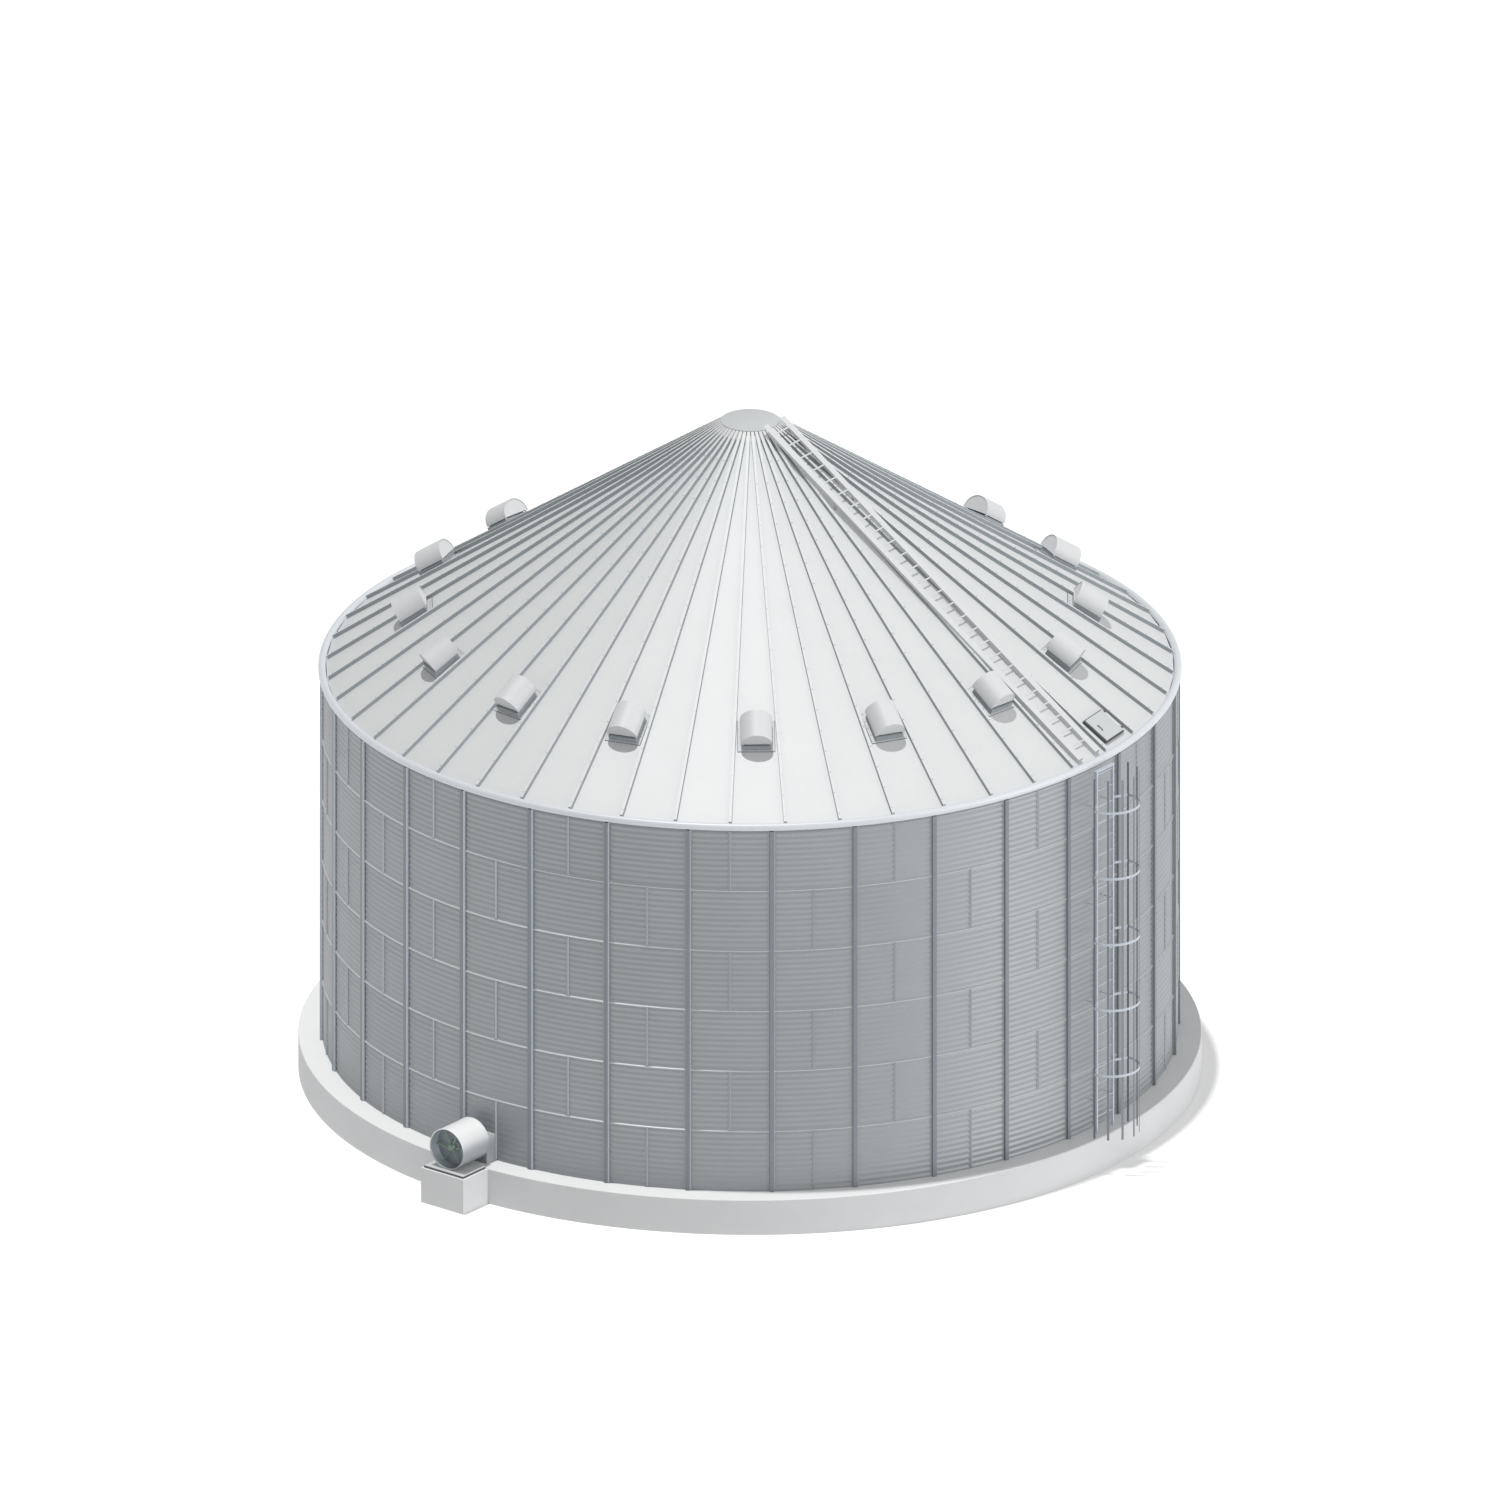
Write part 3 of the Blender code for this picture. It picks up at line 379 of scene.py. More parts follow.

# %% [markdown]
# ## All the finishes
# Each steel has its own pair of tones, its roughness and how metallic it looks. The tones are
# chosen against the photograph. Painted and weathered zinc throws light back more like paint
# than like a mirror, so the metallic values are low.

# %% Make the finishes
wall_finish()
concrete_finish()
drum_finish()
steel_finish("roof_sheet", (0.555, 0.565, 0.568), (0.600, 0.610, 0.613), 0.58, 0.12,
             sparkle=0.02)
steel_finish("light_steel", (0.53, 0.54, 0.545), (0.58, 0.59, 0.595), 0.60, 0.05)
steel_finish("rib_side", (0.27, 0.30, 0.315), (0.32, 0.35, 0.365), 0.55, 0.10)
# A painted highlight for the stiffener web that catches the sky.
steel_finish("web_painted_highlight", (0.39, 0.435, 0.48), (0.44, 0.485, 0.53), 0.45, 0.15)
# Painted highlight for the seams' edge strips, which catch the light.
steel_finish("seam_painted_highlight", (0.40, 0.42, 0.43), (0.46, 0.48, 0.49), 0.45, 0.10)
# Painted shade: the dark liner stands for the shadow inside the fan's bore.
steel_finish("fan_liner_painted_shade", (0.19, 0.22, 0.24), (0.23, 0.26, 0.28), 0.50, 0.05)
steel_finish("eave_zinc", (0.55, 0.575, 0.60), (0.60, 0.625, 0.65), 0.45, 0.08)
# Painted highlight: lighter than the wall, for the lit ledge of the ring joints.
steel_finish("joint_painted_highlight", (0.43, 0.45, 0.46), (0.51, 0.53, 0.54), 0.45, 0.15)
steel_finish("lid_steel", (0.45, 0.465, 0.47), (0.50, 0.515, 0.52), 0.60, 0.05)
steel_finish("stiffener_zinc", (0.175, 0.196, 0.218), (0.215, 0.236, 0.258), 0.45, 0.25)
steel_finish("ladder_zinc", (0.43, 0.475, 0.53), (0.50, 0.545, 0.60), 0.42, 0.30)
steel_finish("dark_steel", (0.06, 0.065, 0.07), (0.11, 0.115, 0.12), 0.55, 0.20)
steel_finish("rotor_paint", (0.13, 0.20, 0.155), (0.18, 0.26, 0.20), 0.40, 0.05)
steel_finish("bolt_zinc", (0.34, 0.36, 0.375), (0.42, 0.44, 0.455), 0.40, 0.20,
             crystal=0.006)
print("finishes:", len(finish))

# %% [markdown]
# ## Solids that stay
# The roof's panels, the hatch frame, the duct, the pad and the motor are plain shapes on
# the real silo too, so their solids stay and only get a finish. The record names a slot
# for every solid, and each slot has its finish here.

# %% Give every solid its finish
SLOT_FINISH = {
    "concrete": "fair_concrete",
    "galvanised_sheet": "galvanised_wall",
    "roof_sheet": "roof_sheet",
    "light_steel": "light_steel",
    "ladder_steel": "ladder_zinc",
    "dark_steel": "dark_steel",
    # The fan's grey solids, the duct among them, take the drum's painted highlight and shade.
    "fan_grey": "fan_steel_painted_light",
    "rotor_green": "rotor_paint",
}
# The motor sits in the bore's shadow, so it takes the liner's painted shade.
NODE_FINISH = {"fan_motor": "fan_liner_painted_shade"}
slots = {entry["node"]: entry["material_slot"] for entry in frame["record"]["subparts"]}
for name, solid in nodes.items():
    look = NODE_FINISH.get(name, SLOT_FINISH[slots[name]])
    for slot in solid.material_slots:
        slot.material = finish[look]
print("painted", len(slots), "solids")

# %% [markdown]
# ## Tools for pieces
# A piece is kept as one plain mesh with its place in its vertices. Shapes that go round
# an axis are turned from a profile, and bars and blades are lofted through outlines. The
# builder of such a mesh can forget which way its faces point, because they are all turned
# outwards once, at the end.

# %% Keep a piece
CRISP_ANGLE = 35.0


def mesh_piece(name, bm, crisp=CRISP_ANGLE):
    """Turn a bmesh into an object whose edges are smooth below an angle."""
    bmesh.ops.recalc_face_normals(bm, faces=bm.faces)
    for face in bm.faces:
        face.smooth = True
    for edge in bm.edges:
        if len(edge.link_faces) == 2:
            edge.smooth = edge.calc_face_angle() < math.radians(crisp)
    mesh = bpy.data.meshes.new(name)
    bm.to_mesh(mesh)
    bm.free()
    return add_object(name, mesh)


def keep(piece, body, look=None, replaced=()):
    """Finish a piece: its look, the body it rides on and the solids it stands for."""
    if look:
        piece.data.materials.clear()
        piece.data.materials.append(finish[look])
    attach(piece, body)
    if replaced:
        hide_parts(*replaced)
    print(piece.name, len(piece.data.polygons), "faces")


print("piece tools ready")


# %% Turned, lofted and plain shapes
def turn_profile(bm, profile, steps, frame=Matrix()):
    """Turn (radius, height) points about the frame's Z axis; radius 0 is a pole."""
    rings = []
    for radius, height in profile:
        if radius == 0.0:
            rings.append([bm.verts.new(frame @ Vector((0.0, 0.0, height)))])
            continue
        angles = [2 * math.pi * step / steps for step in range(steps)]
        rings.append([bm.verts.new(frame @ Vector((
            radius * math.cos(angle), radius * math.sin(angle), height)))
            for angle in angles])
    pairs = list(zip(rings, rings[1:]))
    if profile[0][0] > 0.0 and profile[-1][0] > 0.0:
        pairs.append((rings[-1], rings[0]))
    for low, high in pairs:
        for step in range(steps):
            after = (step + 1) % steps
            corners = [low[step % len(low)], low[after % len(low)],
                       high[after % len(high)], high[step % len(high)]]
            bm.faces.new(dict.fromkeys(corners))


def loft(bm, outlines):
    """Join closed outlines of points and close both ends; returns the two end faces."""
    rows = [[bm.verts.new(point) for point in outline] for outline in outlines]
    for low, high in zip(rows, rows[1:]):
        for index in range(len(low)):
            after = (index + 1) % len(low)
            bm.faces.new((low[index], low[after], high[after], high[index]))
    return [bm.faces.new(rows[0]), bm.faces.new(rows[-1])]


def upright_bar(bm, section, bottom, top, frame=Matrix()):
    """Raise a closed outline of (x, y) points into a bar; returns its end faces."""
    return loft(bm, [[frame @ Vector((x, y, height)) for x, y in section]
                     for height in (bottom, top)])


def box(bm, size, centre, frame=Matrix()):
    """Add a box of the given size, its centre given in the frame."""
    place = frame @ Matrix.Translation(centre) @ Matrix.Diagonal((*size, 1.0))
    bmesh.ops.create_cube(bm, size=1.0, matrix=place)


def tube(bm, radius, start, end, sides=16):
    """Add a capped round bar between two points."""
    line = end - start
    place = Matrix.Translation((start + end) / 2)
    place = place @ line.to_track_quat("Z", "Y").to_matrix().to_4x4()
    bmesh.ops.create_cone(bm, cap_ends=True, segments=sides, radius1=radius,
                          radius2=radius, depth=line.length, matrix=place)


print("shape tools ready")

# %% [markdown]
# ## Copies by Geometry Nodes
# Bolts, seams, stiffeners, ribs and vents repeat at even steps round the silo, and some
# of them row by row up it. Each is made once, where the +X axis crosses it. A loop could
# copy it, but a tree of nodes says it better: points with a turn and a height worked out
# from their number, and a copy on each. The copies are made real at the end, so that the
# piece is a plain mesh that can be exported.


# %% Start, end and run a tree
def new_tree(name, counts, sizes):
    """A tree with a geometry input, whole-number inputs and inputs for sizes."""
    tree = bpy.data.node_groups.new(name, "GeometryNodeTree")
    sockets = [("Geometry", "NodeSocketGeometry")]
    sockets += [(count, "NodeSocketInt") for count in counts]
    sockets += [(size, "NodeSocketFloat") for size in sizes]
    for socket, kind in sockets:
        tree.interface.new_socket(socket, in_out="INPUT", socket_type=kind)
    tree.interface.new_socket("Geometry", in_out="OUTPUT", socket_type="NodeSocketGeometry")
    board = Board(tree)
    piece = board.add("NodeGroupInput")
    return board, piece, {socket: board.other(piece, socket) for socket, _ in sockets[1:]}


def end_tree(board, geometry, material):
    """Close a tree: real geometry with its material."""
    real = board.add("GeometryNodeRealizeInstances", None, {"Geometry": geometry})
    painted = board.add("GeometryNodeSetMaterial", None,
                        {"Geometry": real, "Material": material})
    board.add("NodeGroupOutput", None, {"Geometry": painted})
    return board.tree


def settle(piece):
    """Keep what a piece's modifiers make as its plain mesh."""
    graph = bpy.context.evaluated_depsgraph_get()
    made = bpy.data.meshes.new_from_object(piece.evaluated_get(graph),
                                           preserve_all_data_layers=True, depsgraph=graph)
    piece.modifiers.clear()
    piece.data = made


def run_tree(piece, tree, values):
    """Run a tree on a piece, its inputs set by name."""
    modifier = piece.modifiers.new("maker", "NODES")
    modifier.node_group = tree
    for item in tree.interface.items_tree:
        if item.in_out == "INPUT" and item.name in values:
            modifier[item.identifier] = values[item.name]
    settle(piece)


print("trees can be run")


# %% Copy a piece round and up the silo
def copies_round(board, shape, count, turn, lift=0.0):
    """Copies of a shape on the axis, each turned by degrees and lifted by metres."""
    points = board.add("GeometryNodeMeshLine", {"mode": "OFFSET"},
                       {"Count": count, "Offset": (0.0, 0.0, 0.0)})
    lifted = board.add("GeometryNodeSetPosition", None,
                       {"Geometry": points, "Offset": board.vector(z=lift)})
    return board.add("GeometryNodeInstanceOnPoints", None, {
        "Points": lifted, "Instance": shape,
        "Rotation": board.vector(z=turn * (math.pi / 180.0))})


def repeat_tree(material):
    """A tree that copies a piece round the axis and up it."""
    board, piece, size = new_tree("round and up, " + material.name, ("Around", "Up"), (
        "First turn", "Turn step", "Height step", "Turn per row"))
    index = board.add("GeometryNodeInputIndex")
    row = board.maths("FLOOR", (index + 0.5) / size["Around"])
    column = index - row * size["Around"]
    turn = size["First turn"] + column * size["Turn step"]
    turn = turn + board.maths("MODULO", row, 2.0) * size["Turn per row"]
    copies = copies_round(board, piece, size["Around"] * size["Up"], turn,
                          row * size["Height step"])
    return end_tree(board, copies, material)


repeaters = {}


def repeat(piece, look, around, first, step, up=1, rise=0.0, stagger=0.0):
    """Copy a piece round the silo, and row by row up it; returns the piece."""
    if look not in repeaters:
        repeaters[look] = repeat_tree(finish[look])
    run_tree(piece, repeaters[look], {
        "Around": around, "First turn": first, "Turn step": step, "Up": up,
        "Height step": rise, "Turn per row": stagger})
    return piece


print("repeater ready")

# %% [markdown]
# ## The concrete
# The plinth is a cast disc. Its solid is a prism of ninety-six sides, so a smooth disc
# with a small chamfer, turned from half its outline, takes its place. The fan's pad is a
# plain block and keeps its solid.

# %% Plinth
ROUND_STEPS = 240
CHAMFER = 0.012

bm = bmesh.new()
turn_profile(bm, [(0.0, 0.0), (PLINTH_RADIUS, 0.0), (PLINTH_RADIUS, PLINTH_TOP - CHAMFER),
                  (PLINTH_RADIUS - CHAMFER, PLINTH_TOP), (0.0, PLINTH_TOP)], ROUND_STEPS)
keep(mesh_piece("plinth", bm), "silo", "fair_concrete", ["foundation_slab"])

# %% [markdown]
# ## The corrugated wall
# The waves stiffen a sheet that is only a few millimetres thick. They could be a bump in
# the material, but they show at the silo's edge and carry every shadow on the wall, so
# they are real. One tree bends a flat grid into a sheet: the wave is a sine of the
# height, and the sheet stands further out along its length, so that its end lies over the
# next sheet's start. Copies go round, and where the fan's duct comes through, the faces
# are left out.

# %% A ring of lapped sheets
WAVES = 11
WAVE_DEPTH = 0.0052
WAVE_STEPS = 6
SHEET_COLUMNS = 13
LAP_RISE = 0.004
DUCT_AZIMUTH = -100.0
DUCT_HALF_ANGLE = 2.1


def sheet_tree():
    """A tree that bends a grid into a corrugated sheet and copies it round the axis."""
    board, _, size = new_tree("lapped sheets", ("Sheets", "Waves"), (
        "Bottom", "Height", "Radius", "Wave depth", "First seam", "Lap", "Lap rise",
        "Opening top"))
    grid = board.add("GeometryNodeMeshGrid", None, {
        "Size X": 1.0, "Size Y": 1.0, "Vertices X": SHEET_COLUMNS,
        "Vertices Y": size["Waves"] * WAVE_STEPS + 1})
    grid_x, grid_y, _ = board.axes(board.add("GeometryNodeInputPosition"))
    along, upward = grid_x + 0.5, grid_y + 0.5
    turn = along * (360.0 / size["Sheets"] + size["Lap"]) * (math.pi / 180.0)
    wave = board.maths("SINE", upward * size["Waves"] * (2 * math.pi)) * size["Wave depth"]
    radius = size["Radius"] + wave + along * size["Lap rise"]
    bent = board.add("GeometryNodeSetPosition", None, {
        "Geometry": grid, "Position": board.vector(
            radius * board.maths("COSINE", turn), radius * board.maths("SINE", turn),
            size["Bottom"] + upward * size["Height"])})
    seam = size["First seam"] + board.add("GeometryNodeInputIndex") * (
        360.0 / size["Sheets"])
    ring = board.add("GeometryNodeRealizeInstances", None,
                     {"Geometry": copies_round(board, bent, size["Sheets"], seam)})
    east, north, up = board.axes(board.add("GeometryNodeInputPosition"))
    azimuth = board.maths("ARCTAN2", north, east)
    beside = board.maths("ABSOLUTE", azimuth - math.radians(DUCT_AZIMUTH))
    opening = (beside < math.radians(DUCT_HALF_ANGLE)) * (up < size["Opening top"])
    cut = board.add("GeometryNodeDeleteGeometry", {"domain": "FACE"},
                    {"Geometry": ring, "Selection": opening})
    smooth = board.add("GeometryNodeSetShadeSmooth", None,
                       {"Geometry": cut, "Shade Smooth": True})
    return end_tree(board, smooth, finish["galvanised_wall"])


sheets = sheet_tree()
print("sheet tree:", len(sheets.nodes), "nodes")

# %% Six rings of sheets
SHEET_THICKNESS = 0.003
DUCT_TOP = 1.09

wall_nodes = [f"wall_segment_{index}" for index in range(1, 9)]
for ring in range(RINGS):
    name = f"wall_ring_{ring + 1}"
    holder = add_object(name, bpy.data.meshes.new(name))
    run_tree(holder, sheets, {
        "Bottom": PLINTH_TOP + ring * RING_HEIGHT, "Height": RING_HEIGHT,
        "Radius": WALL_RADIUS, "Sheets": SHEETS, "Waves": WAVES,
        "Wave depth": WAVE_DEPTH, "First seam": FIRST_SEAM + (ring % 2) * SHEET_ANGLE / 2,
        "Lap": SHEET_LAP, "Lap rise": LAP_RISE,
        "Opening top": DUCT_TOP if ring == 0 else 0.0})
    shell = holder.modifiers.new("thickness", "SOLIDIFY")
    shell.thickness = SHEET_THICKNESS
    shell.offset = -1.0
    settle(holder)
    holder.data.set_sharp_from_angle(angle=math.radians(CRISP_ANGLE))
    keep(holder, "silo", None, wall_nodes)

# %% [markdown]
# ## The lines on the wall
# A light line runs round the wall at each joint of two rings, where the lapped edge catches
# the light from above. Its upper face slopes outwards, so that it looks up at the light, and
# its finish is lighter than the wall's, a painted highlight on top of that light. Where two
# sheets of a ring lap, the joint is pressed into a low bead with a thin strip beside it, whose
# lighter finish is a painted highlight for the edge that catches the light. The bead's outline
# is extruded up one ring, and the repeater sets it on every seam.

# %% Ring joints
LEDGE_DEPTH = 0.024
LEDGE_HEIGHT = 0.022
LEDGE_SLOPE = 0.010
LEDGE_DRAFT = 0.003

ledge_root = WALL_RADIUS - WAVE_DEPTH
ledge_tip = WALL_RADIUS + LEDGE_DEPTH
bm = bmesh.new()
for ring in range(1, RINGS):
    joint = PLINTH_TOP + ring * RING_HEIGHT
    turn_profile(bm, [(ledge_root, joint + LEDGE_HEIGHT / 2 + LEDGE_SLOPE),
                      (ledge_tip, joint + LEDGE_HEIGHT / 2 - LEDGE_SLOPE),
                      (ledge_tip - LEDGE_DRAFT, joint - LEDGE_HEIGHT / 2),
                      (ledge_root, joint - LEDGE_HEIGHT / 2)], ROUND_STEPS)
# The ledge's lighter finish is a painted highlight.
keep(mesh_piece("ring_joints", bm), "silo", "joint_painted_highlight")

# %% Seam beads and the strips of painted highlight beside them
BEAD_OUTLINE = ((-0.032, 0.0), (0.006, 0.020), (0.010, 0.020), (0.0125, 0.0))
EDGE_OUTLINE = ((0.0125, 0.0), (0.010, 0.0205), (0.0125, 0.0205), (0.016, 0.0))
BEAD_CRISP = 20.0
SEAM_END = 0.014
EACH_SEAM = (SHEETS, FIRST_SEAM, SHEET_ANGLE, RINGS, RING_HEIGHT, SHEET_ANGLE / 2)

seam_face = WALL_RADIUS + LAP_RISE + WAVE_DEPTH
seam_root = seam_face - 2 * WAVE_DEPTH
at_lap = Matrix.Rotation(math.radians(SHEET_LAP), 4, "Z")
# The edge strips' lighter finish is a painted highlight.
for name, outline, look in (("seam_beads", BEAD_OUTLINE, "galvanised_wall"),
                            ("seam_edges", EDGE_OUTLINE, "seam_painted_highlight")):
    section = [(seam_root, outline[0][0])]
    section += [(seam_face + outward, sideways) for sideways, outward in outline]
    section += [(seam_root, outline[-1][0])]
    bm = bmesh.new()
    upright_bar(bm, section, PLINTH_TOP + SEAM_END, PLINTH_TOP + RING_HEIGHT - SEAM_END,
                at_lap)
    keep(repeat(mesh_piece(name, bm, BEAD_CRISP), look, *EACH_SEAM), "silo")

# %% [markdown]
# ## Stiffeners
# Thirty-two folded channels carry the roof's weight down outside the wall. In section each is
# a hat: a face, two webs that lean a little and a narrow flange on each side for the bolts.
# The face has a dark finish and the flanges match the wall. One web, which catches the sky, is
# lined with a lighter sheet: a painted highlight for the light it catches. So the hat is made
# of three pieces, each with its own finish, from outlines that share the same few corners.

# %% Folded stiffeners
STIFFENER_FACE = 0.074
STIFFENER_FLANGE = 0.026
STIFFENER_SHEET = 0.005
STIFFENER_LEAN = 0.006
STIFFENER_GAP = 0.005
WEB_HIGHLIGHT_SHEET = 0.002
STIFFENER_OUT = WALL_RADIUS + 0.054
FLANGE_OUT = WALL_RADIUS + WAVE_DEPTH + LAP_RISE + STIFFENER_SHEET
STIFFENER_STEP = 11.25
EACH_STIFFENER = (round(360.0 / STIFFENER_STEP), -1.875, STIFFENER_STEP)


def mirrored(outline):
    """An outline of (out, sideways) points on the other side of the middle line."""
    return [(out, -sideways) for out, sideways in reversed(outline)]


half = STIFFENER_FACE / 2
foot = half + STIFFENER_LEAN
flange_back = FLANGE_OUT - STIFFENER_SHEET
web = [(flange_back, foot), (STIFFENER_OUT, half)]
web_back = [(STIFFENER_OUT - STIFFENER_SHEET, half - STIFFENER_SHEET),
            (flange_back, foot - STIFFENER_SHEET)]
channel = web + mirrored(web) + mirrored(web_back) + web_back
# The lining is a painted highlight on the web that catches the sky.
web_highlight = [(FLANGE_OUT, foot), (STIFFENER_OUT - WEB_HIGHLIGHT_SHEET, half),
          (STIFFENER_OUT - WEB_HIGHLIGHT_SHEET, half + WEB_HIGHLIGHT_SHEET), (FLANGE_OUT, foot + WEB_HIGHLIGHT_SHEET)]
flange = [(flange_back, foot), (FLANGE_OUT, foot), (FLANGE_OUT, half + STIFFENER_FLANGE),
          (flange_back, half + STIFFENER_FLANGE)]
for name, sections, look in (
        ("stiffener_channels", [channel], "stiffener_zinc"),
        ("stiffener_linings", [web_highlight], "web_painted_highlight"),
        ("stiffener_flanges", [flange, mirrored(flange)], "galvanised_wall")):
    bm = bmesh.new()
    for section in sections:
        upright_bar(bm, section, PLINTH_TOP + STIFFENER_GAP, WALL_TOP - STIFFENER_GAP)
    keep(repeat(mesh_piece(name, bm), look, *EACH_STIFFENER), "silo")

# %% [markdown]
# ## Bolts
# A bin is held together by thousands of small bolts with a sealing washer under the
# head. They could be painted on, but up close they are what shows that it is real. One
# bolt is a disc and a hexagon of a few dozen faces. A short row of them is made once and
# copied round the wall, so that no bolt is placed by hand.

# %% One bolt
WASHER_RADIUS = 0.012
WASHER_SIDES = 10
WASHER_THICKNESS = 0.0025
HEAD_RADIUS = 0.0095
HEAD_TAPER = 0.85
HEAD_HEIGHT = 0.009
SEATING = 0.0005


def bolt(bm, place):
    """A washer and a hexagon head, standing on the place's XY plane."""
    for radius, taper, sides, height in (
            (WASHER_RADIUS, 1.0, WASHER_SIDES, WASHER_THICKNESS),
            (HEAD_RADIUS, HEAD_TAPER, 6, HEAD_HEIGHT)):
        bmesh.ops.create_cone(bm, cap_ends=True, segments=sides, radius1=radius,
                              radius2=taper * radius, depth=height,
                              matrix=place @ Matrix.Translation((0.0, 0.0, height / 2)))


def on_wall(azimuth, radius, height, sideways=0.0):
    """A place on the wall whose Z axis points out from the silo."""
    turn = Matrix.Rotation(math.radians(azimuth), 4, "Z")
    turn = turn @ Matrix.Translation((radius, sideways, height))
    return turn @ Matrix.Rotation(math.radians(90.0), 4, "Y")


print("bolt ready")

# %% Bolts of the seams, the stiffeners and the ring joints
SEAM_COLUMNS = (0.08, 0.21)
STIFFENER_BOLT_SIDE = 0.055
CREST, TROUGH = 0.25, 0.75
RING_BOLTS = 192
RING_BOLT_STEP = 360.0 / RING_BOLTS

wave_length = RING_HEIGHT / WAVES
bm = bmesh.new()
for wave in range(WAVES):
    for column in SEAM_COLUMNS:
        bolt(bm, on_wall(column, seam_face - SEATING,
                         PLINTH_TOP + (wave + CREST) * wave_length))
keep(repeat(mesh_piece("seam_bolts", bm), "bolt_zinc", *EACH_SEAM), "silo")

bm = bmesh.new()
for wave in range(0, RINGS * WAVES, 2):
    for side in (-1, 1):
        bolt(bm, on_wall(0.0, FLANGE_OUT - SEATING, PLINTH_TOP + (wave + TROUGH) * wave_length,
                         side * STIFFENER_BOLT_SIDE))
keep(repeat(mesh_piece("stiffener_bolts", bm), "bolt_zinc", *EACH_STIFFENER), "silo")

bm = bmesh.new()
bolt(bm, on_wall(0.0, WALL_RADIUS + WAVE_DEPTH,
                 PLINTH_TOP + RING_HEIGHT - TROUGH * wave_length))
keep(repeat(mesh_piece("ring_bolts", bm), "bolt_zinc", RING_BOLTS,
            EACH_STIFFENER[1] + RING_BOLT_STEP / 2, RING_BOLT_STEP, RINGS, RING_HEIGHT),
     "silo")

# %% [markdown]
# ## The eave
# A round rolled edge closes the wall against the roof. Under it, a thin dark band round the
# wall's top is painted shadow: the line of shade the edge casts. Both are turned from their
# outlines: a circle that stands off the axis gives a ring.

# %% Rolled eave edge and its painted shadow
EAVE_RADIUS = 7.326
EAVE_TUBE = 0.065
EAVE_SIDES = 24
EAVE_HEIGHT = WALL_TOP + EAVE_TUBE
SHADOW_BAND_GAP = 0.003
SHADOW_BAND_HEIGHT = 0.036
SHADOW_BAND_SHEET = 0.006

circle = [2 * math.pi * side / EAVE_SIDES for side in range(EAVE_SIDES)]
bm = bmesh.new()
turn_profile(bm, [(EAVE_RADIUS + EAVE_TUBE * math.cos(angle),
                   EAVE_HEIGHT + EAVE_TUBE * math.sin(angle)) for angle in circle],
             ROUND_STEPS)
keep(mesh_piece("eave_edge", bm), "silo", "eave_zinc", ["eave_ring"])

# The band is painted shadow, the dark line under the rolled edge.
shadow_band_inside = WALL_RADIUS + WAVE_DEPTH
shadow_band_outside = shadow_band_inside + SHADOW_BAND_SHEET
bm = bmesh.new()
turn_profile(bm, [(shadow_band_inside, WALL_TOP - SHADOW_BAND_GAP), (shadow_band_outside, WALL_TOP - SHADOW_BAND_GAP),
                  (shadow_band_outside, WALL_TOP - SHADOW_BAND_HEIGHT),
                  (shadow_band_inside, WALL_TOP - SHADOW_BAND_HEIGHT)], ROUND_STEPS)
keep(mesh_piece("eave_painted_shadow", bm), "silo", "stiffener_zinc")

# %% [markdown]
# ## Places on the roof
# The roof is a cone of forty-eight flat panels, and every roof piece stands on one. Its
# points could be worked out one by one with sines, but a frame on the panel's middle line
# is easier: with X round the silo, Y uphill and Z out of the sheet, a piece on the slope
# is described as if it lay flat, in plain metres.

# %% Roof frame
ROOF_SLOPE = 0.664
ROOF_PITCH = math.atan(ROOF_SLOPE)
ROOF_DROP = 0.062
PANELS = 48
PANEL_ANGLE = 360.0 / PANELS


def roof_height(radius):
    """Height of the panels' upper face on their middle lines."""
    return EAVE_HEIGHT - ROOF_DROP + (EAVE_RADIUS - radius) * ROOF_SLOPE


def roof_place(azimuth, radius):
    """On a panel's middle line: X round the silo, Y uphill, Z out of the sheet."""
    place = Matrix.Rotation(math.radians(azimuth), 4, "Z")
    place = place @ Matrix.Translation((radius, 0.0, roof_height(radius)))
    place = place @ Matrix.Rotation(math.radians(90.0), 4, "Z")
    return place @ Matrix.Rotation(ROOF_PITCH, 4, "X")


print("roof pitch", round(math.degrees(ROOF_PITCH), 2), "degrees")

# %% [markdown]
# ## Roof ribs
# Two panels meet in a standing rib, a cap folded over both upturned edges. The ribs are
# in the roof's solids. What the solids can't show is that a rib's sides are in shade and
# its top is bright, so thin plates of a darker finish cover the sides, and a row of bolts
# runs along the top. One rib is dressed, and forty-eight copies go round.

# %% Rib bolts and rib sides
RIB_HEIGHT = 0.065
RIB_WIDTH = 0.050
RIB_BOLTS = 18
FIRST_RIB_BOLT = 7.13
RIB_BOLT_STEP = 0.36
RIB_LOW, RIB_HIGH = 7.221, 0.60
RIB_SIDE = 0.0015
RIB_SIDE_HEIGHT = RIB_HEIGHT - 0.004
EACH_RIB = (PANELS, PANEL_ANGLE / 2, PANEL_ANGLE)

corner = 1.0 / math.cos(math.radians(PANEL_ANGLE / 2))
rib_pitch = math.atan(ROOF_SLOPE / corner)


def rib_place(radius):
    """On the line where two panels meet: X downhill, Z out of the rib."""
    place = Matrix.Translation((radius, 0.0, roof_height(radius / corner)))
    return place @ Matrix.Rotation(rib_pitch, 4, "Y")


bm = bmesh.new()
for index in range(RIB_BOLTS):
    place = rib_place(FIRST_RIB_BOLT - index * RIB_BOLT_STEP)
    bolt(bm, place @ Matrix.Translation((0.0, 0.0, RIB_HEIGHT - SEATING)))
keep(repeat(mesh_piece("rib_bolts", bm), "bolt_zinc", *EACH_RIB), "silo")

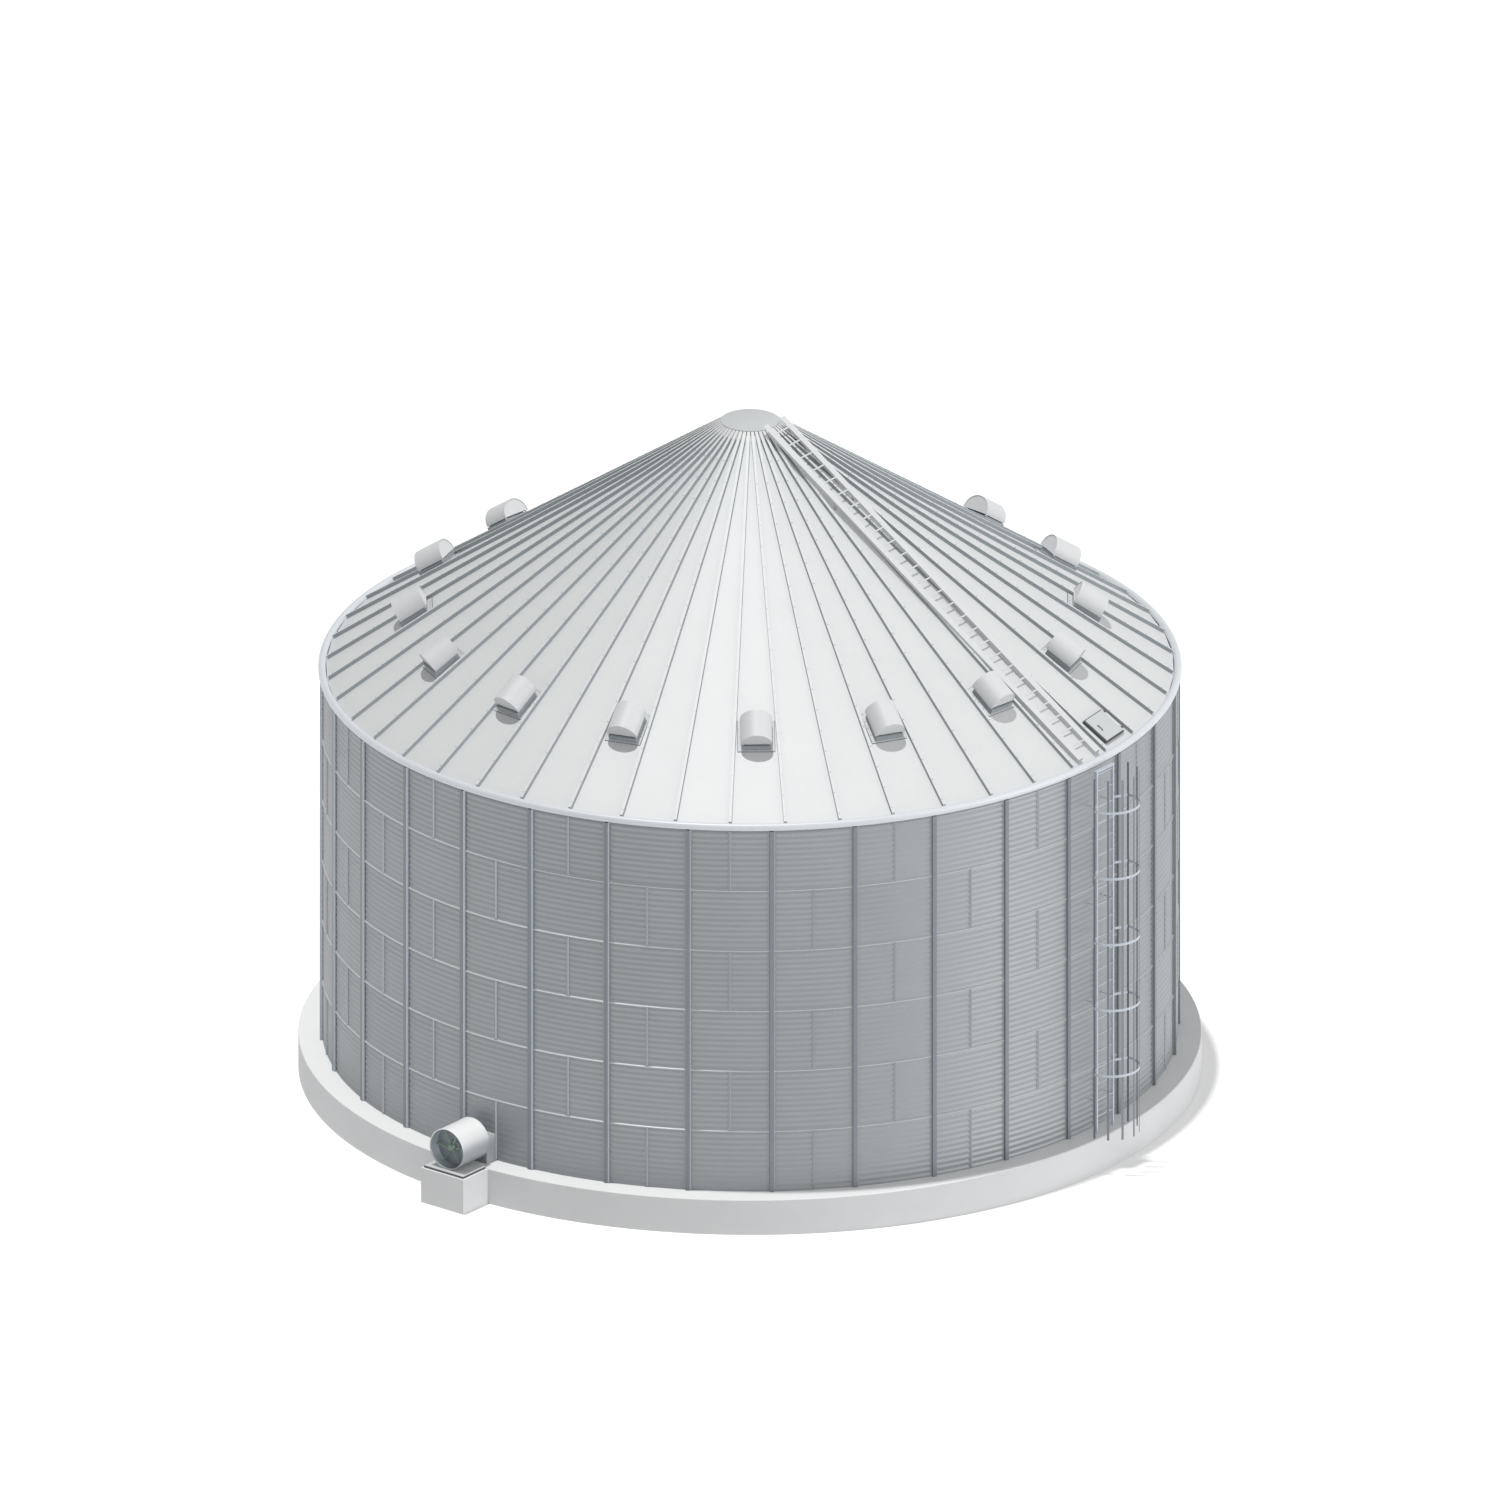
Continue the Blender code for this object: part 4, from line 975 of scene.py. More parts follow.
bm = bmesh.new()
for side in (-1, 1):
    box(bm, ((RIB_LOW - RIB_HIGH) / math.cos(rib_pitch), RIB_SIDE, RIB_SIDE_HEIGHT),
        (0.0, side * (RIB_WIDTH + RIB_SIDE) / 2, RIB_SIDE_HEIGHT / 2),
        rib_place((RIB_LOW + RIB_HIGH) / 2))
keep(repeat(mesh_piece("rib_sides", bm), "rib_side", *EACH_RIB), "silo")

# %% [markdown]
# ## Roof vents
# Each vent is a curb on a square flange, with a half-round hood over it. Air leaves through
# the slot between the two, whose shade is painted by a dark screen. The hood is a half circle,
# lofted along the slope, whose ends are pressed in by a rim: two insets do that on the end
# faces. One vent is modelled over the panel at +X, and sixteen copies go round.

# %% Vent flange, hood and posts
VENTS = 16
EACH_VENT = (VENTS, -15.0, 360.0 / VENTS)
VENT_RADIUS = 5.963
FLANGE_SIDE = 0.630
FLANGE_SHEET = 0.012
EDGE_SHADOW_SHEET = 0.006
CURB_WIDTH = 0.500
CURB_HEIGHT = 0.112
HOOD_RADIUS = 0.272
HOOD_START = 0.057
HOOD_LENGTH = 0.540
HOOD_BASE = 0.135
HOOD_SIDES = 36
HOOD_RIM = 0.010
HOOD_RECESS = 0.012
HOOD_LIP = 0.014
POST = 0.022
POST_OVERLAP = 0.010

vent_nodes = [f"roof_vent_{index:02d}" for index in range(1, VENTS + 1)]
vent_place = roof_place(0.0, VENT_RADIUS)
slot_middle = (HOOD_BASE + CURB_HEIGHT) / 2
slot_height = HOOD_BASE - CURB_HEIGHT
bm = bmesh.new()
box(bm, (FLANGE_SIDE, FLANGE_SIDE, FLANGE_SHEET - EDGE_SHADOW_SHEET),
    (0.0, FLANGE_SIDE / 2, (FLANGE_SHEET + EDGE_SHADOW_SHEET) / 2), vent_place)
half_circle = [math.pi * side / HOOD_SIDES for side in range(HOOD_SIDES + 1)]
end_faces = loft(bm, [[vent_place @ Vector((HOOD_RADIUS * math.cos(angle), along,
                                            HOOD_BASE + HOOD_RADIUS * math.sin(angle)))
                       for angle in half_circle]
                      for along in (HOOD_START, HOOD_START + HOOD_LENGTH)])
bmesh.ops.recalc_face_normals(bm, faces=bm.faces)
bmesh.ops.inset_region(bm, faces=end_faces, thickness=HOOD_RIM, depth=0.0)
bmesh.ops.inset_region(bm, faces=end_faces, thickness=SEATING, depth=-HOOD_RECESS)
for side in (-1, 1):
    box(bm, (HOOD_LIP / 2, HOOD_LENGTH, HOOD_LIP),
        (side * (HOOD_RADIUS - HOOD_LIP / 4), HOOD_START + HOOD_LENGTH / 2, HOOD_BASE),
        vent_place)
    for along in (HOOD_START + POST, HOOD_START + HOOD_LENGTH - 2 * POST):
        box(bm, (POST, POST, slot_height + 2 * POST_OVERLAP),
            (side * (CURB_WIDTH - POST) / 2, along, slot_middle), vent_place)
keep(repeat(mesh_piece("vent_bodies", bm), "light_steel", *EACH_VENT), "silo",
     None, vent_nodes)

# %% [markdown]
# ## Under the hoods
# The curb is in the hood's shade, so it has the darker finish of the rib sides. A dark screen
# of painted shade fills the slot between curb and hood, and a dark plate under the flange
# shows round it as painted shadow of its edge.
# Sixteen bolts at even steps round its edge hold the flange down: each side has four and
# leaves its last corner to the next side. Curbs, screens and bolts are pieces of their
# own, because the repeater gives a piece one finish.

# %% Vent curbs, screens and bolts
CURB_LENGTH = 0.520
CURB_START = 0.025
CURB_LIFT = 0.001
SHADE_SCREEN_INSET = 0.030
SHADE_SCREEN_OVERLAP = 0.005
EDGE_SHADOW_RIM = 0.008
EDGE_SHADOW_LIFT = 0.0003
BOLTS_A_SIDE = 4
BOLT_MARGIN = 0.028

curb_middle = CURB_START + CURB_LENGTH / 2
bm = bmesh.new()
box(bm, (CURB_WIDTH, CURB_LENGTH, CURB_HEIGHT - CURB_LIFT),
    (0.0, curb_middle, CURB_LIFT + CURB_HEIGHT / 2), vent_place)
keep(repeat(mesh_piece("vent_curbs", bm), "rib_side", *EACH_VENT), "silo",
     None, vent_nodes)

# Painted shade and shadow: the dark screen fills the shaded slot, and the wider dark plate
# under the flange stands for the shadow of its edge.
bm = bmesh.new()
box(bm, (CURB_WIDTH - 2 * SHADE_SCREEN_INSET, CURB_LENGTH - 2 * SHADE_SCREEN_INSET,
         slot_height + 2 * SHADE_SCREEN_OVERLAP), (0.0, curb_middle, slot_middle), vent_place)
box(bm, (FLANGE_SIDE + 2 * EDGE_SHADOW_RIM, FLANGE_SIDE + 2 * EDGE_SHADOW_RIM, EDGE_SHADOW_SHEET),
    (0.0, FLANGE_SIDE / 2, EDGE_SHADOW_LIFT + EDGE_SHADOW_SHEET / 2), vent_place)
keep(repeat(mesh_piece("vent_painted_shade", bm), "dark_steel", *EACH_VENT), "silo",
     None, vent_nodes)

bm = bmesh.new()
reach = FLANGE_SIDE / 2 - BOLT_MARGIN
for index in range(BOLTS_A_SIDE):
    along = -reach + 2 * reach * index / BOLTS_A_SIDE
    for x, y in ((along, -reach), (reach, along), (-along, reach), (-reach, -along)):
        bolt(bm, vent_place @ Matrix.Translation((x, FLANGE_SIDE / 2 + y, FLANGE_SHEET)))
keep(repeat(mesh_piece("vent_bolts", bm), "bolt_zinc", *EACH_VENT), "silo",
     None, vent_nodes)

# %% [markdown]
# ## The cap
# The peak cap is a flat disc with a rounded rim that closes the filling hole. Its two
# faces are read from its solid, and the disc is turned with enough steps to look round.
# A rounded edge is drawn by one extra point, near where an arc would pass.

# %% Peak cap
CAP_STEPS = 96
CAP_EDGE = 0.006
ARC_POINT = 0.3

cap_low, cap_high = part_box("peak_cap")
CAP_RADIUS, _, CAP_TOP = cap_high
bm = bmesh.new()
turn_profile(bm, [(0.0, cap_low[2]), (CAP_RADIUS, cap_low[2]),
                  (CAP_RADIUS, CAP_TOP - CAP_EDGE),
                  (CAP_RADIUS - ARC_POINT * CAP_EDGE, CAP_TOP - ARC_POINT * CAP_EDGE),
                  (CAP_RADIUS - CAP_EDGE, CAP_TOP), (0.0, CAP_TOP)], CAP_STEPS)
keep(mesh_piece("cap_disc", bm), "silo", "lid_steel", ["peak_cap"])

# %% [markdown]
# ## The hatch
# A folded lid lies on a raised frame and turns on a long barrel hinge beside it. Its
# edges are bevelled, because a sheet never folds to a knife's edge. The handle is a bent
# round bar. The lid's pieces ride on the hinged body, so they open with it, and the
# barrel lies on the joint's own axis.

# %% Hatch lid
HATCH_RADIUS = 6.892
LID_WIDTH = 0.580
LID_LENGTH = 0.510
LID_SHEET = 0.022
LID_MIDDLE = 0.0616
LID_TOP = LID_MIDDLE + LID_SHEET / 2
LID_EDGE = 0.004

hatch_place = roof_place(0.0, HATCH_RADIUS)
bm = bmesh.new()
box(bm, (LID_WIDTH, LID_LENGTH, LID_SHEET), (0.0, 0.0, LID_MIDDLE), hatch_place)
bmesh.ops.bevel(bm, geom=bm.edges[:], offset=LID_EDGE, segments=3, affect="EDGES",
                profile=0.5)
keep(mesh_piece("lid_panel", bm), "hatch_lid", "lid_steel", ["hatch_lid"])

# %% Hinge and handle
TUCK = 0.001
HINGE_OFFSET = 0.316
BARREL = (0.010, 0.360, 20)
PIN = (0.006, 0.430, 16)
LEAF_LENGTH = 0.320
LEAF_WIDTH = 0.060
LEAF_SHEET = 0.004
HANDLE_OFFSET = -0.165
HANDLE_HALF = 0.057
HANDLE_BAR = 0.008
HANDLE_TOP = 0.088


def hatch_point(x, y, z):
    """A point in the hatch's frame."""
    return hatch_place @ Vector((x, y, z))


bm = bmesh.new()
for radius, length, sides in (BARREL, PIN):
    tube(bm, radius, hatch_point(HINGE_OFFSET, -length / 2, LID_MIDDLE),
         hatch_point(HINGE_OFFSET, length / 2, LID_MIDDLE), sides)
box(bm, (LEAF_WIDTH, LEAF_LENGTH, LEAF_SHEET),
    (HINGE_OFFSET - LEAF_WIDTH / 2, 0.0, LID_TOP + LEAF_SHEET / 2 - TUCK), hatch_place)
keep(mesh_piece("lid_hinge", bm), "hatch_lid", "light_steel", ["hatch_lid"])

bm = bmesh.new()
tube(bm, HANDLE_BAR, hatch_point(HANDLE_OFFSET, -HANDLE_HALF, HANDLE_TOP),
     hatch_point(HANDLE_OFFSET, HANDLE_HALF, HANDLE_TOP))
for along in (-HANDLE_HALF, HANDLE_HALF):
    tube(bm, HANDLE_BAR, hatch_point(HANDLE_OFFSET, along, LID_TOP - 2 * TUCK),
         hatch_point(HANDLE_OFFSET, along, HANDLE_TOP))
keep(mesh_piece("lid_handle", bm), "hatch_lid", "dark_steel", ["hatch_lid"])

# %% [markdown]
# ## The roof ladder
# The ladder up the roof has two wide strips to walk beside the rungs. Each strip is a
# channel: a flat top with a lip folded down on both sides, deeper on its lowest part. It
# is built lying along its own Y axis, from the eave to the peak, and one matrix puts it
# on the slope.

# %% Where the roof ladder lies
LADDER_AZIMUTH = -7.5
ROOF_LADDER_WIDTH = 0.615
STRIP_WIDTH = 0.135
EAVE_END = Vector((7.200, 7.446))
PEAK_END = Vector((0.495, 11.997))

run, climb = EAVE_END.x - PEAK_END.x, PEAK_END.y - EAVE_END.y
ladder_slope = climb / run
ladder_length = math.hypot(run, climb)
strip_middle = (ROOF_LADDER_WIDTH - STRIP_WIDTH) / 2
lying = Matrix.Rotation(math.radians(LADDER_AZIMUTH), 4, "Z")
lying = lying @ Matrix.Translation((EAVE_END.x, 0.0, EAVE_END.y))
lying = lying @ Matrix.Rotation(math.radians(90.0), 4, "Z")
lying = lying @ Matrix.Rotation(math.atan(ladder_slope), 4, "X")
print("roof ladder", round(ladder_length, 2), "m long")

# %% Strips and rungs
STRIP_DEPTH = 0.030
STRIP_SHEET = 0.004
LIPS = ((0.0, 2.65, 0.072), (2.65, 7.9, 0.044))
RUNG_RADIUS = 0.014
RUNG_SIDES = 14
FIRST_RUNG = 0.296
RUNG_STEP = 0.3036
ROOF_RUNGS = 26

bm = bmesh.new()
for side in (-1, 1):
    box(bm, (STRIP_WIDTH, ladder_length, STRIP_SHEET),
        (side * strip_middle, ladder_length / 2, STRIP_DEPTH - STRIP_SHEET / 2), lying)
    for lip in (-1, 1):
        for start, end, depth in LIPS:
            box(bm, (STRIP_SHEET, end - start, depth),
                (side * strip_middle + lip * (STRIP_WIDTH - STRIP_SHEET) / 2,
                 (start + end) / 2, STRIP_DEPTH - TUCK - depth / 2), lying)
for index in range(ROOF_RUNGS):
    along = FIRST_RUNG + index * RUNG_STEP
    tube(bm, RUNG_RADIUS, lying @ Vector((-strip_middle, along, STRIP_DEPTH / 2)),
         lying @ Vector((strip_middle, along, STRIP_DEPTH / 2)), RUNG_SIDES)
print("strips and rungs:", len(bm.faces), "faces")

# %% [markdown]
# ## The ladder's feet
# Five pairs of feet carry the ladder. A foot stands beside the middle line of a panel,
# where the many-sided roof lies a little lower, so the drop is worked out as the distance
# to the next panels' planes. Where a rib is in the way, the foot stands on the rib.

# %% Feet
FEET = (7.09, 5.40, 3.662, 2.00, 1.207)
FEET_ON_RIBS = (3.662, 1.207)
FOOT_SIZE = (0.046, 0.060)


def roof_drop(radius, offset):
    """How far the many-sided roof lies under a panel's plane, beside its middle line."""
    reach = radius
    for step in range(1, PANELS // 4):
        turn = math.radians(step * PANEL_ANGLE)
        reach = max(reach, radius * math.cos(turn) + offset * math.sin(turn))
    return (reach - radius) * ROOF_SLOPE * math.cos(ROOF_PITCH)


for radius in FEET:
    bottom = -roof_drop(radius, strip_middle)
    if radius in FEET_ON_RIBS:
        bottom += RIB_HEIGHT
    underside = EAVE_END.y + (EAVE_END.x - radius) * ladder_slope
    top = (underside - roof_height(radius)) * math.cos(ROOF_PITCH) + STRIP_DEPTH / 2
    for side in (-1, 1):
        box(bm, (*FOOT_SIZE, top - bottom), (side * strip_middle, 0.0, (top + bottom) / 2),
            roof_place(LADDER_AZIMUTH, radius))
keep(mesh_piece("roof_ladder_channels", bm), "silo", "light_steel",
     ["roof_ladder"])

# %% [markdown]
# ## The wall ladder
# The upright ladder has two folded stiles, round rungs and a bar across its head, and
# round brackets tie it to the wall. Each stile is a channel made of three thin boxes,
# because at this size its rounded folds don't show. The standing frame has its origin at
# the ladder's foot, with X along a rung and Y away from the wall.

# %% Wall ladder
LADDER_RADIUS = WALL_RADIUS + 0.220
LADDER_WIDTH = 0.505
LADDER_TOP = 6.680
STILE_WIDTH = 0.040
STILE_DEPTH = 0.050
STILE_SHEET = 0.004
STILE_TOP = LADDER_TOP - 0.010
HEAD_BAR = 0.035
HEAD_OVERHANG = 0.004
WALL_RUNG_STEP = 0.300
WALL_RUNGS = 22
BRACKETS = (0.60, 2.40, 4.20, 6.00)
BRACKET_BAR = 0.008
BRACKET_SIDES = 12
BRACKET_FOOT = (0.034, 0.005, 0.034)

standing = Matrix.Rotation(math.radians(LADDER_AZIMUTH - 90.0), 4, "Z")
standing = standing @ Matrix.Translation((0.0, LADDER_RADIUS, PLINTH_TOP))
wall_reach = LADDER_RADIUS - WALL_RADIUS - WAVE_DEPTH
bm = bmesh.new()
for side in (-1, 1):
    outer = side * LADDER_WIDTH / 2
    middle = outer - side * STILE_WIDTH / 2
    box(bm, (STILE_SHEET, STILE_DEPTH, STILE_TOP),
        (outer - side * STILE_SHEET / 2, 0.0, STILE_TOP / 2), standing)
    for face in (-1, 1):
        box(bm, (STILE_WIDTH, STILE_SHEET, STILE_TOP),
            (middle, face * (STILE_DEPTH - STILE_SHEET) / 2, STILE_TOP / 2), standing)
    for height in BRACKETS:
        tube(bm, BRACKET_BAR, standing @ Vector((middle, -wall_reach, height)),
             standing @ Vector((middle, 0.0, height)), BRACKET_SIDES)
        box(bm, BRACKET_FOOT, (middle, BRACKET_FOOT[1] / 2 - wall_reach, height), standing)
rung_end = LADDER_WIDTH / 2 - TUCK
for index in range(1, WALL_RUNGS + 1):
    height = index * WALL_RUNG_STEP
    tube(bm, RUNG_RADIUS, standing @ Vector((-rung_end, 0.0, height)),
         standing @ Vector((rung_end, 0.0, height)), RUNG_SIDES)
box(bm, (LADDER_WIDTH + 2 * HEAD_OVERHANG, STILE_DEPTH + 2 * HEAD_OVERHANG, HEAD_BAR),
    (0.0, 0.0, LADDER_TOP - HEAD_BAR / 2), standing)
keep(mesh_piece("wall_ladder_channels", bm), "silo", "ladder_zinc",
     ["wall_ladder"])

# %% [markdown]
# ## The safety cage
# Round the ladder stands a cage of five flat hoops and seven straps. A hoop is one flat
# bar, bent from stile to stile: its outline is swept along a path of points and turned
# with it at each. The straps run inside the hoops, and their bolts show on the inner
# side, so nothing reaches past the cage's solid.

# %% Cage hoops
CAGE_CENTRE = 0.150
CAGE_RADIUS = 0.487
CAGE_BAR = 0.008
HOOP_HEIGHT = 0.045
HOOPS = (1.20, 2.413, 3.626, 4.839, 6.052)
HOOP_SIDES = 40


def flat_bar(bm, path, thickness, low, high, place):
    """Sweep an upright flat bar along (x, y) points; it grows to the right of its path."""
    outlines = []
    for index, (x, y) in enumerate(path):
        before = Vector(path[max(index - 1, 0)])
        after = Vector(path[min(index + 1, len(path) - 1)])
        along = (after - before).normalized()
        side = Vector((along.y, -along.x)) * thickness
        outlines.append([place @ Vector((x + side.x * part, y + side.y * part, height))
                         for part, height in ((0, low), (1, low), (1, high), (0, high))])
    loft(bm, outlines)


ear = LADDER_WIDTH / 2 + CAGE_BAR / 2
bend = [math.pi * step / HOOP_SIDES for step in range(HOOP_SIDES + 1)]
hoop_path = [(ear, -STILE_DEPTH / 2), (ear, STILE_DEPTH / 2)]
hoop_path += [(CAGE_RADIUS * math.cos(angle), CAGE_CENTRE + CAGE_RADIUS * math.sin(angle))
              for angle in bend]
hoop_path += [(-ear, STILE_DEPTH / 2), (-ear, -STILE_DEPTH / 2)]
bm = bmesh.new()
for height in HOOPS:
    flat_bar(bm, hoop_path, CAGE_BAR / 2, height - HOOP_HEIGHT / 2,
             height + HOOP_HEIGHT / 2, standing)
keep(mesh_piece("cage_hoops", bm), "silo", "ladder_zinc", ["ladder_cage"])

# %% Cage straps
STRAPS = 7
STRAP_WIDTH = 0.040
STRAP_LOW, STRAP_HIGH = 0.020, 6.650

bm = bmesh.new()
for strap in range(STRAPS):
    turn = standing @ Matrix.Translation((0.0, CAGE_CENTRE, 0.0))
    turn = turn @ Matrix.Rotation(math.pi * strap / (STRAPS - 1), 4, "Z")
    box(bm, (CAGE_BAR, STRAP_WIDTH, STRAP_HIGH - STRAP_LOW),
        (CAGE_RADIUS - CAGE_BAR / 2, 0.0, (STRAP_HIGH + STRAP_LOW) / 2), turn)
    for height in HOOPS:
        bolt(bm, turn @ Matrix.Translation((CAGE_RADIUS - CAGE_BAR, 0.0, height))
             @ Matrix.Rotation(math.radians(-90.0), 4, "Y"))
keep(mesh_piece("cage_straps", bm), "silo", "stiffener_zinc",
     ["ladder_cage"])

# %% [markdown]
# ## The aeration fan's drum
# The fan blows air into the silo's floor. It is an axial one: a rolled steel drum with a
# collar at each end, a motor in its middle and a rotor behind the open inlet. Drum and collars
# are one outline, turned round the fan's own axis, which points out from the silo. A dark
# liner lies inside, painted shade for the bore, which lies in shadow and looks far duller than
# the drum.

# %% Fan drum and liner
FAN_HEIGHT = 1.0506
FAN_RADIUS = 0.370
FAN_BACK = 7.560
FAN_FRONT = 8.260
FAN_STEPS = 72
DRUM_SHEET = 0.010
DRUM_STEP = 0.005
COLLAR_WIDTH = 0.030
LINER_BACK = 8.050
LINER_LIP = 0.014
LINER_SHEET = 0.002
MOTOR_HOLE = 0.107

across = Matrix.Rotation(math.radians(DUCT_AZIMUTH - 90.0), 4, "Z")
fan_axis = across @ Matrix.Translation((0.0, 0.0, FAN_HEIGHT))
fan_axis = fan_axis @ Matrix.Rotation(math.radians(-90.0), 4, "X")

drum = FAN_RADIUS - DRUM_STEP
bore = drum - DRUM_SHEET
bm = bmesh.new()
turn_profile(bm, [(0.0, FAN_BACK), (FAN_RADIUS, FAN_BACK),
                  (FAN_RADIUS, FAN_BACK + COLLAR_WIDTH),
                  (drum, FAN_BACK + COLLAR_WIDTH + DRUM_STEP),
                  (drum, FAN_FRONT - COLLAR_WIDTH - DRUM_STEP),
                  (FAN_RADIUS, FAN_FRONT - COLLAR_WIDTH),
                  (FAN_RADIUS, FAN_FRONT - DRUM_STEP),
                  (FAN_RADIUS - ARC_POINT * DRUM_STEP, FAN_FRONT - ARC_POINT * DRUM_STEP),
                  (drum, FAN_FRONT), (bore + DRUM_STEP, FAN_FRONT),
                  (bore, FAN_FRONT - 2 * DRUM_STEP), (bore, FAN_BACK + DRUM_SHEET),
                  (0.0, FAN_BACK + DRUM_SHEET)], FAN_STEPS, fan_axis)
keep(mesh_piece("fan_drum", bm), "silo", "fan_steel_painted_light", ["fan_housing"])

liner = bore - TUCK
bm = bmesh.new()
turn_profile(bm, [(liner, LINER_BACK), (liner, FAN_FRONT - LINER_LIP),
                  (liner - LINER_SHEET, FAN_FRONT - LINER_LIP),
                  (liner - LINER_SHEET, LINER_BACK + LINER_SHEET),
                  (MOTOR_HOLE, LINER_BACK + LINER_SHEET), (MOTOR_HOLE, LINER_BACK)],
             FAN_STEPS, fan_axis)
keep(mesh_piece("fan_liner_painted_shade", bm), "silo", "fan_liner_painted_shade")

# %% [markdown]
# ## The fan's plates
# The base plate lies on the pad. In the photograph its edge is a dark line under a light
# top, so it is two thin boxes with a finish each. A third plate closes the duct behind
# the drum.

# %% Base plate and the duct's end
PLATE_BOTTOM = PLINTH_TOP + 0.0003
PLATE_TOP = PLATE_BOTTOM + 0.040
PLATE_LIGHT = 0.003
PLATE_INSET = 0.004
PLATE_WIDTH = 0.860
PLATE_INNER = 7.7303
PLATE_FRONT = 8.345
DUCT_WIDTH = 0.635
DUCT_HEIGHT = 0.490
DUCT_SHEET = 0.012
DUCT_END = 7.5597
END_PLATE = 0.006

plate_middle = (PLATE_FRONT + PLATE_INNER) / 2
plate_length = PLATE_FRONT - PLATE_INNER
plate_dark = PLATE_TOP - PLATE_LIGHT
bm = bmesh.new()
box(bm, (PLATE_WIDTH, plate_length, plate_dark - PLATE_BOTTOM),
    (0.0, plate_middle, (plate_dark + PLATE_BOTTOM) / 2), across)
keep(mesh_piece("fan_plate_base", bm), "silo", "dark_steel",
     ["fan_base_plate"])
bm = bmesh.new()
box(bm, (PLATE_WIDTH - PLATE_INSET, plate_length - PLATE_INSET, PLATE_LIGHT),
    (0.0, plate_middle, PLATE_TOP - PLATE_LIGHT / 2), across)
keep(mesh_piece("fan_plate_top", bm), "silo", "light_steel",
     ["fan_base_plate"])
bm = bmesh.new()
box(bm, (DUCT_WIDTH - DUCT_SHEET, END_PLATE, DUCT_HEIGHT - DUCT_SHEET),
    (0.0, DUCT_END - END_PLATE / 2 - TUCK, PLINTH_TOP + DUCT_HEIGHT / 2), across)
keep(mesh_piece("duct_end_plate", bm), "silo", "fan_steel_painted_light")

# %% [markdown]
# ## The rotor
# Six blades stand on a domed hub. A blade moves faster at its tip than at its root, so it
# lies flatter there: its pitch falls from 44 to 22 degrees. Each blade is lofted through
# seven thin ellipses, each turned by the pitch at its own distance from the axis. The
# rotor rides on its own body, which spins.

# %% Fan rotor
HUB_RADIUS = 0.060
HUB_BACK = 8.090
HUB_FRONT = 8.160
HUB_STEPS = 32
HUB_NOSE = ((1.0, 0.020), (0.9, 0.008), (0.6, 0.002))
BLADES = 6
BLADE_ROOT, BLADE_TIP = 0.050, 0.325
ROOT_CHORD, TIP_CHORD = 0.036, 0.040
ROOT_PITCH, TIP_PITCH = 44.0, 22.0
BLADE_STATIONS = 7
BLADE_THICKNESS = 0.007
BLADE_SIDES = 12


def between(start, end, part):
    """The value at a part, from 0 to 1, of the way between two."""
    return start + part * (end - start)


def blade_section(place, part):
    """The blade's elliptic outline at a part of its length."""
    reach = between(BLADE_ROOT, BLADE_TIP, part)
    chord = between(ROOT_CHORD, TIP_CHORD, part)
    pitch = math.radians(between(ROOT_PITCH, TIP_PITCH, part))
    points = []
    for side in range(BLADE_SIDES):
        angle = 2 * math.pi * side / BLADE_SIDES
        along = chord / 2 * math.cos(angle)
        over = BLADE_THICKNESS / 2 * math.sin(angle)
        points.append(place @ Vector((
            reach, along * math.cos(pitch) - over * math.sin(pitch),
            (HUB_BACK + HUB_FRONT) / 2 + along * math.sin(pitch) + over * math.cos(pitch))))
    return points


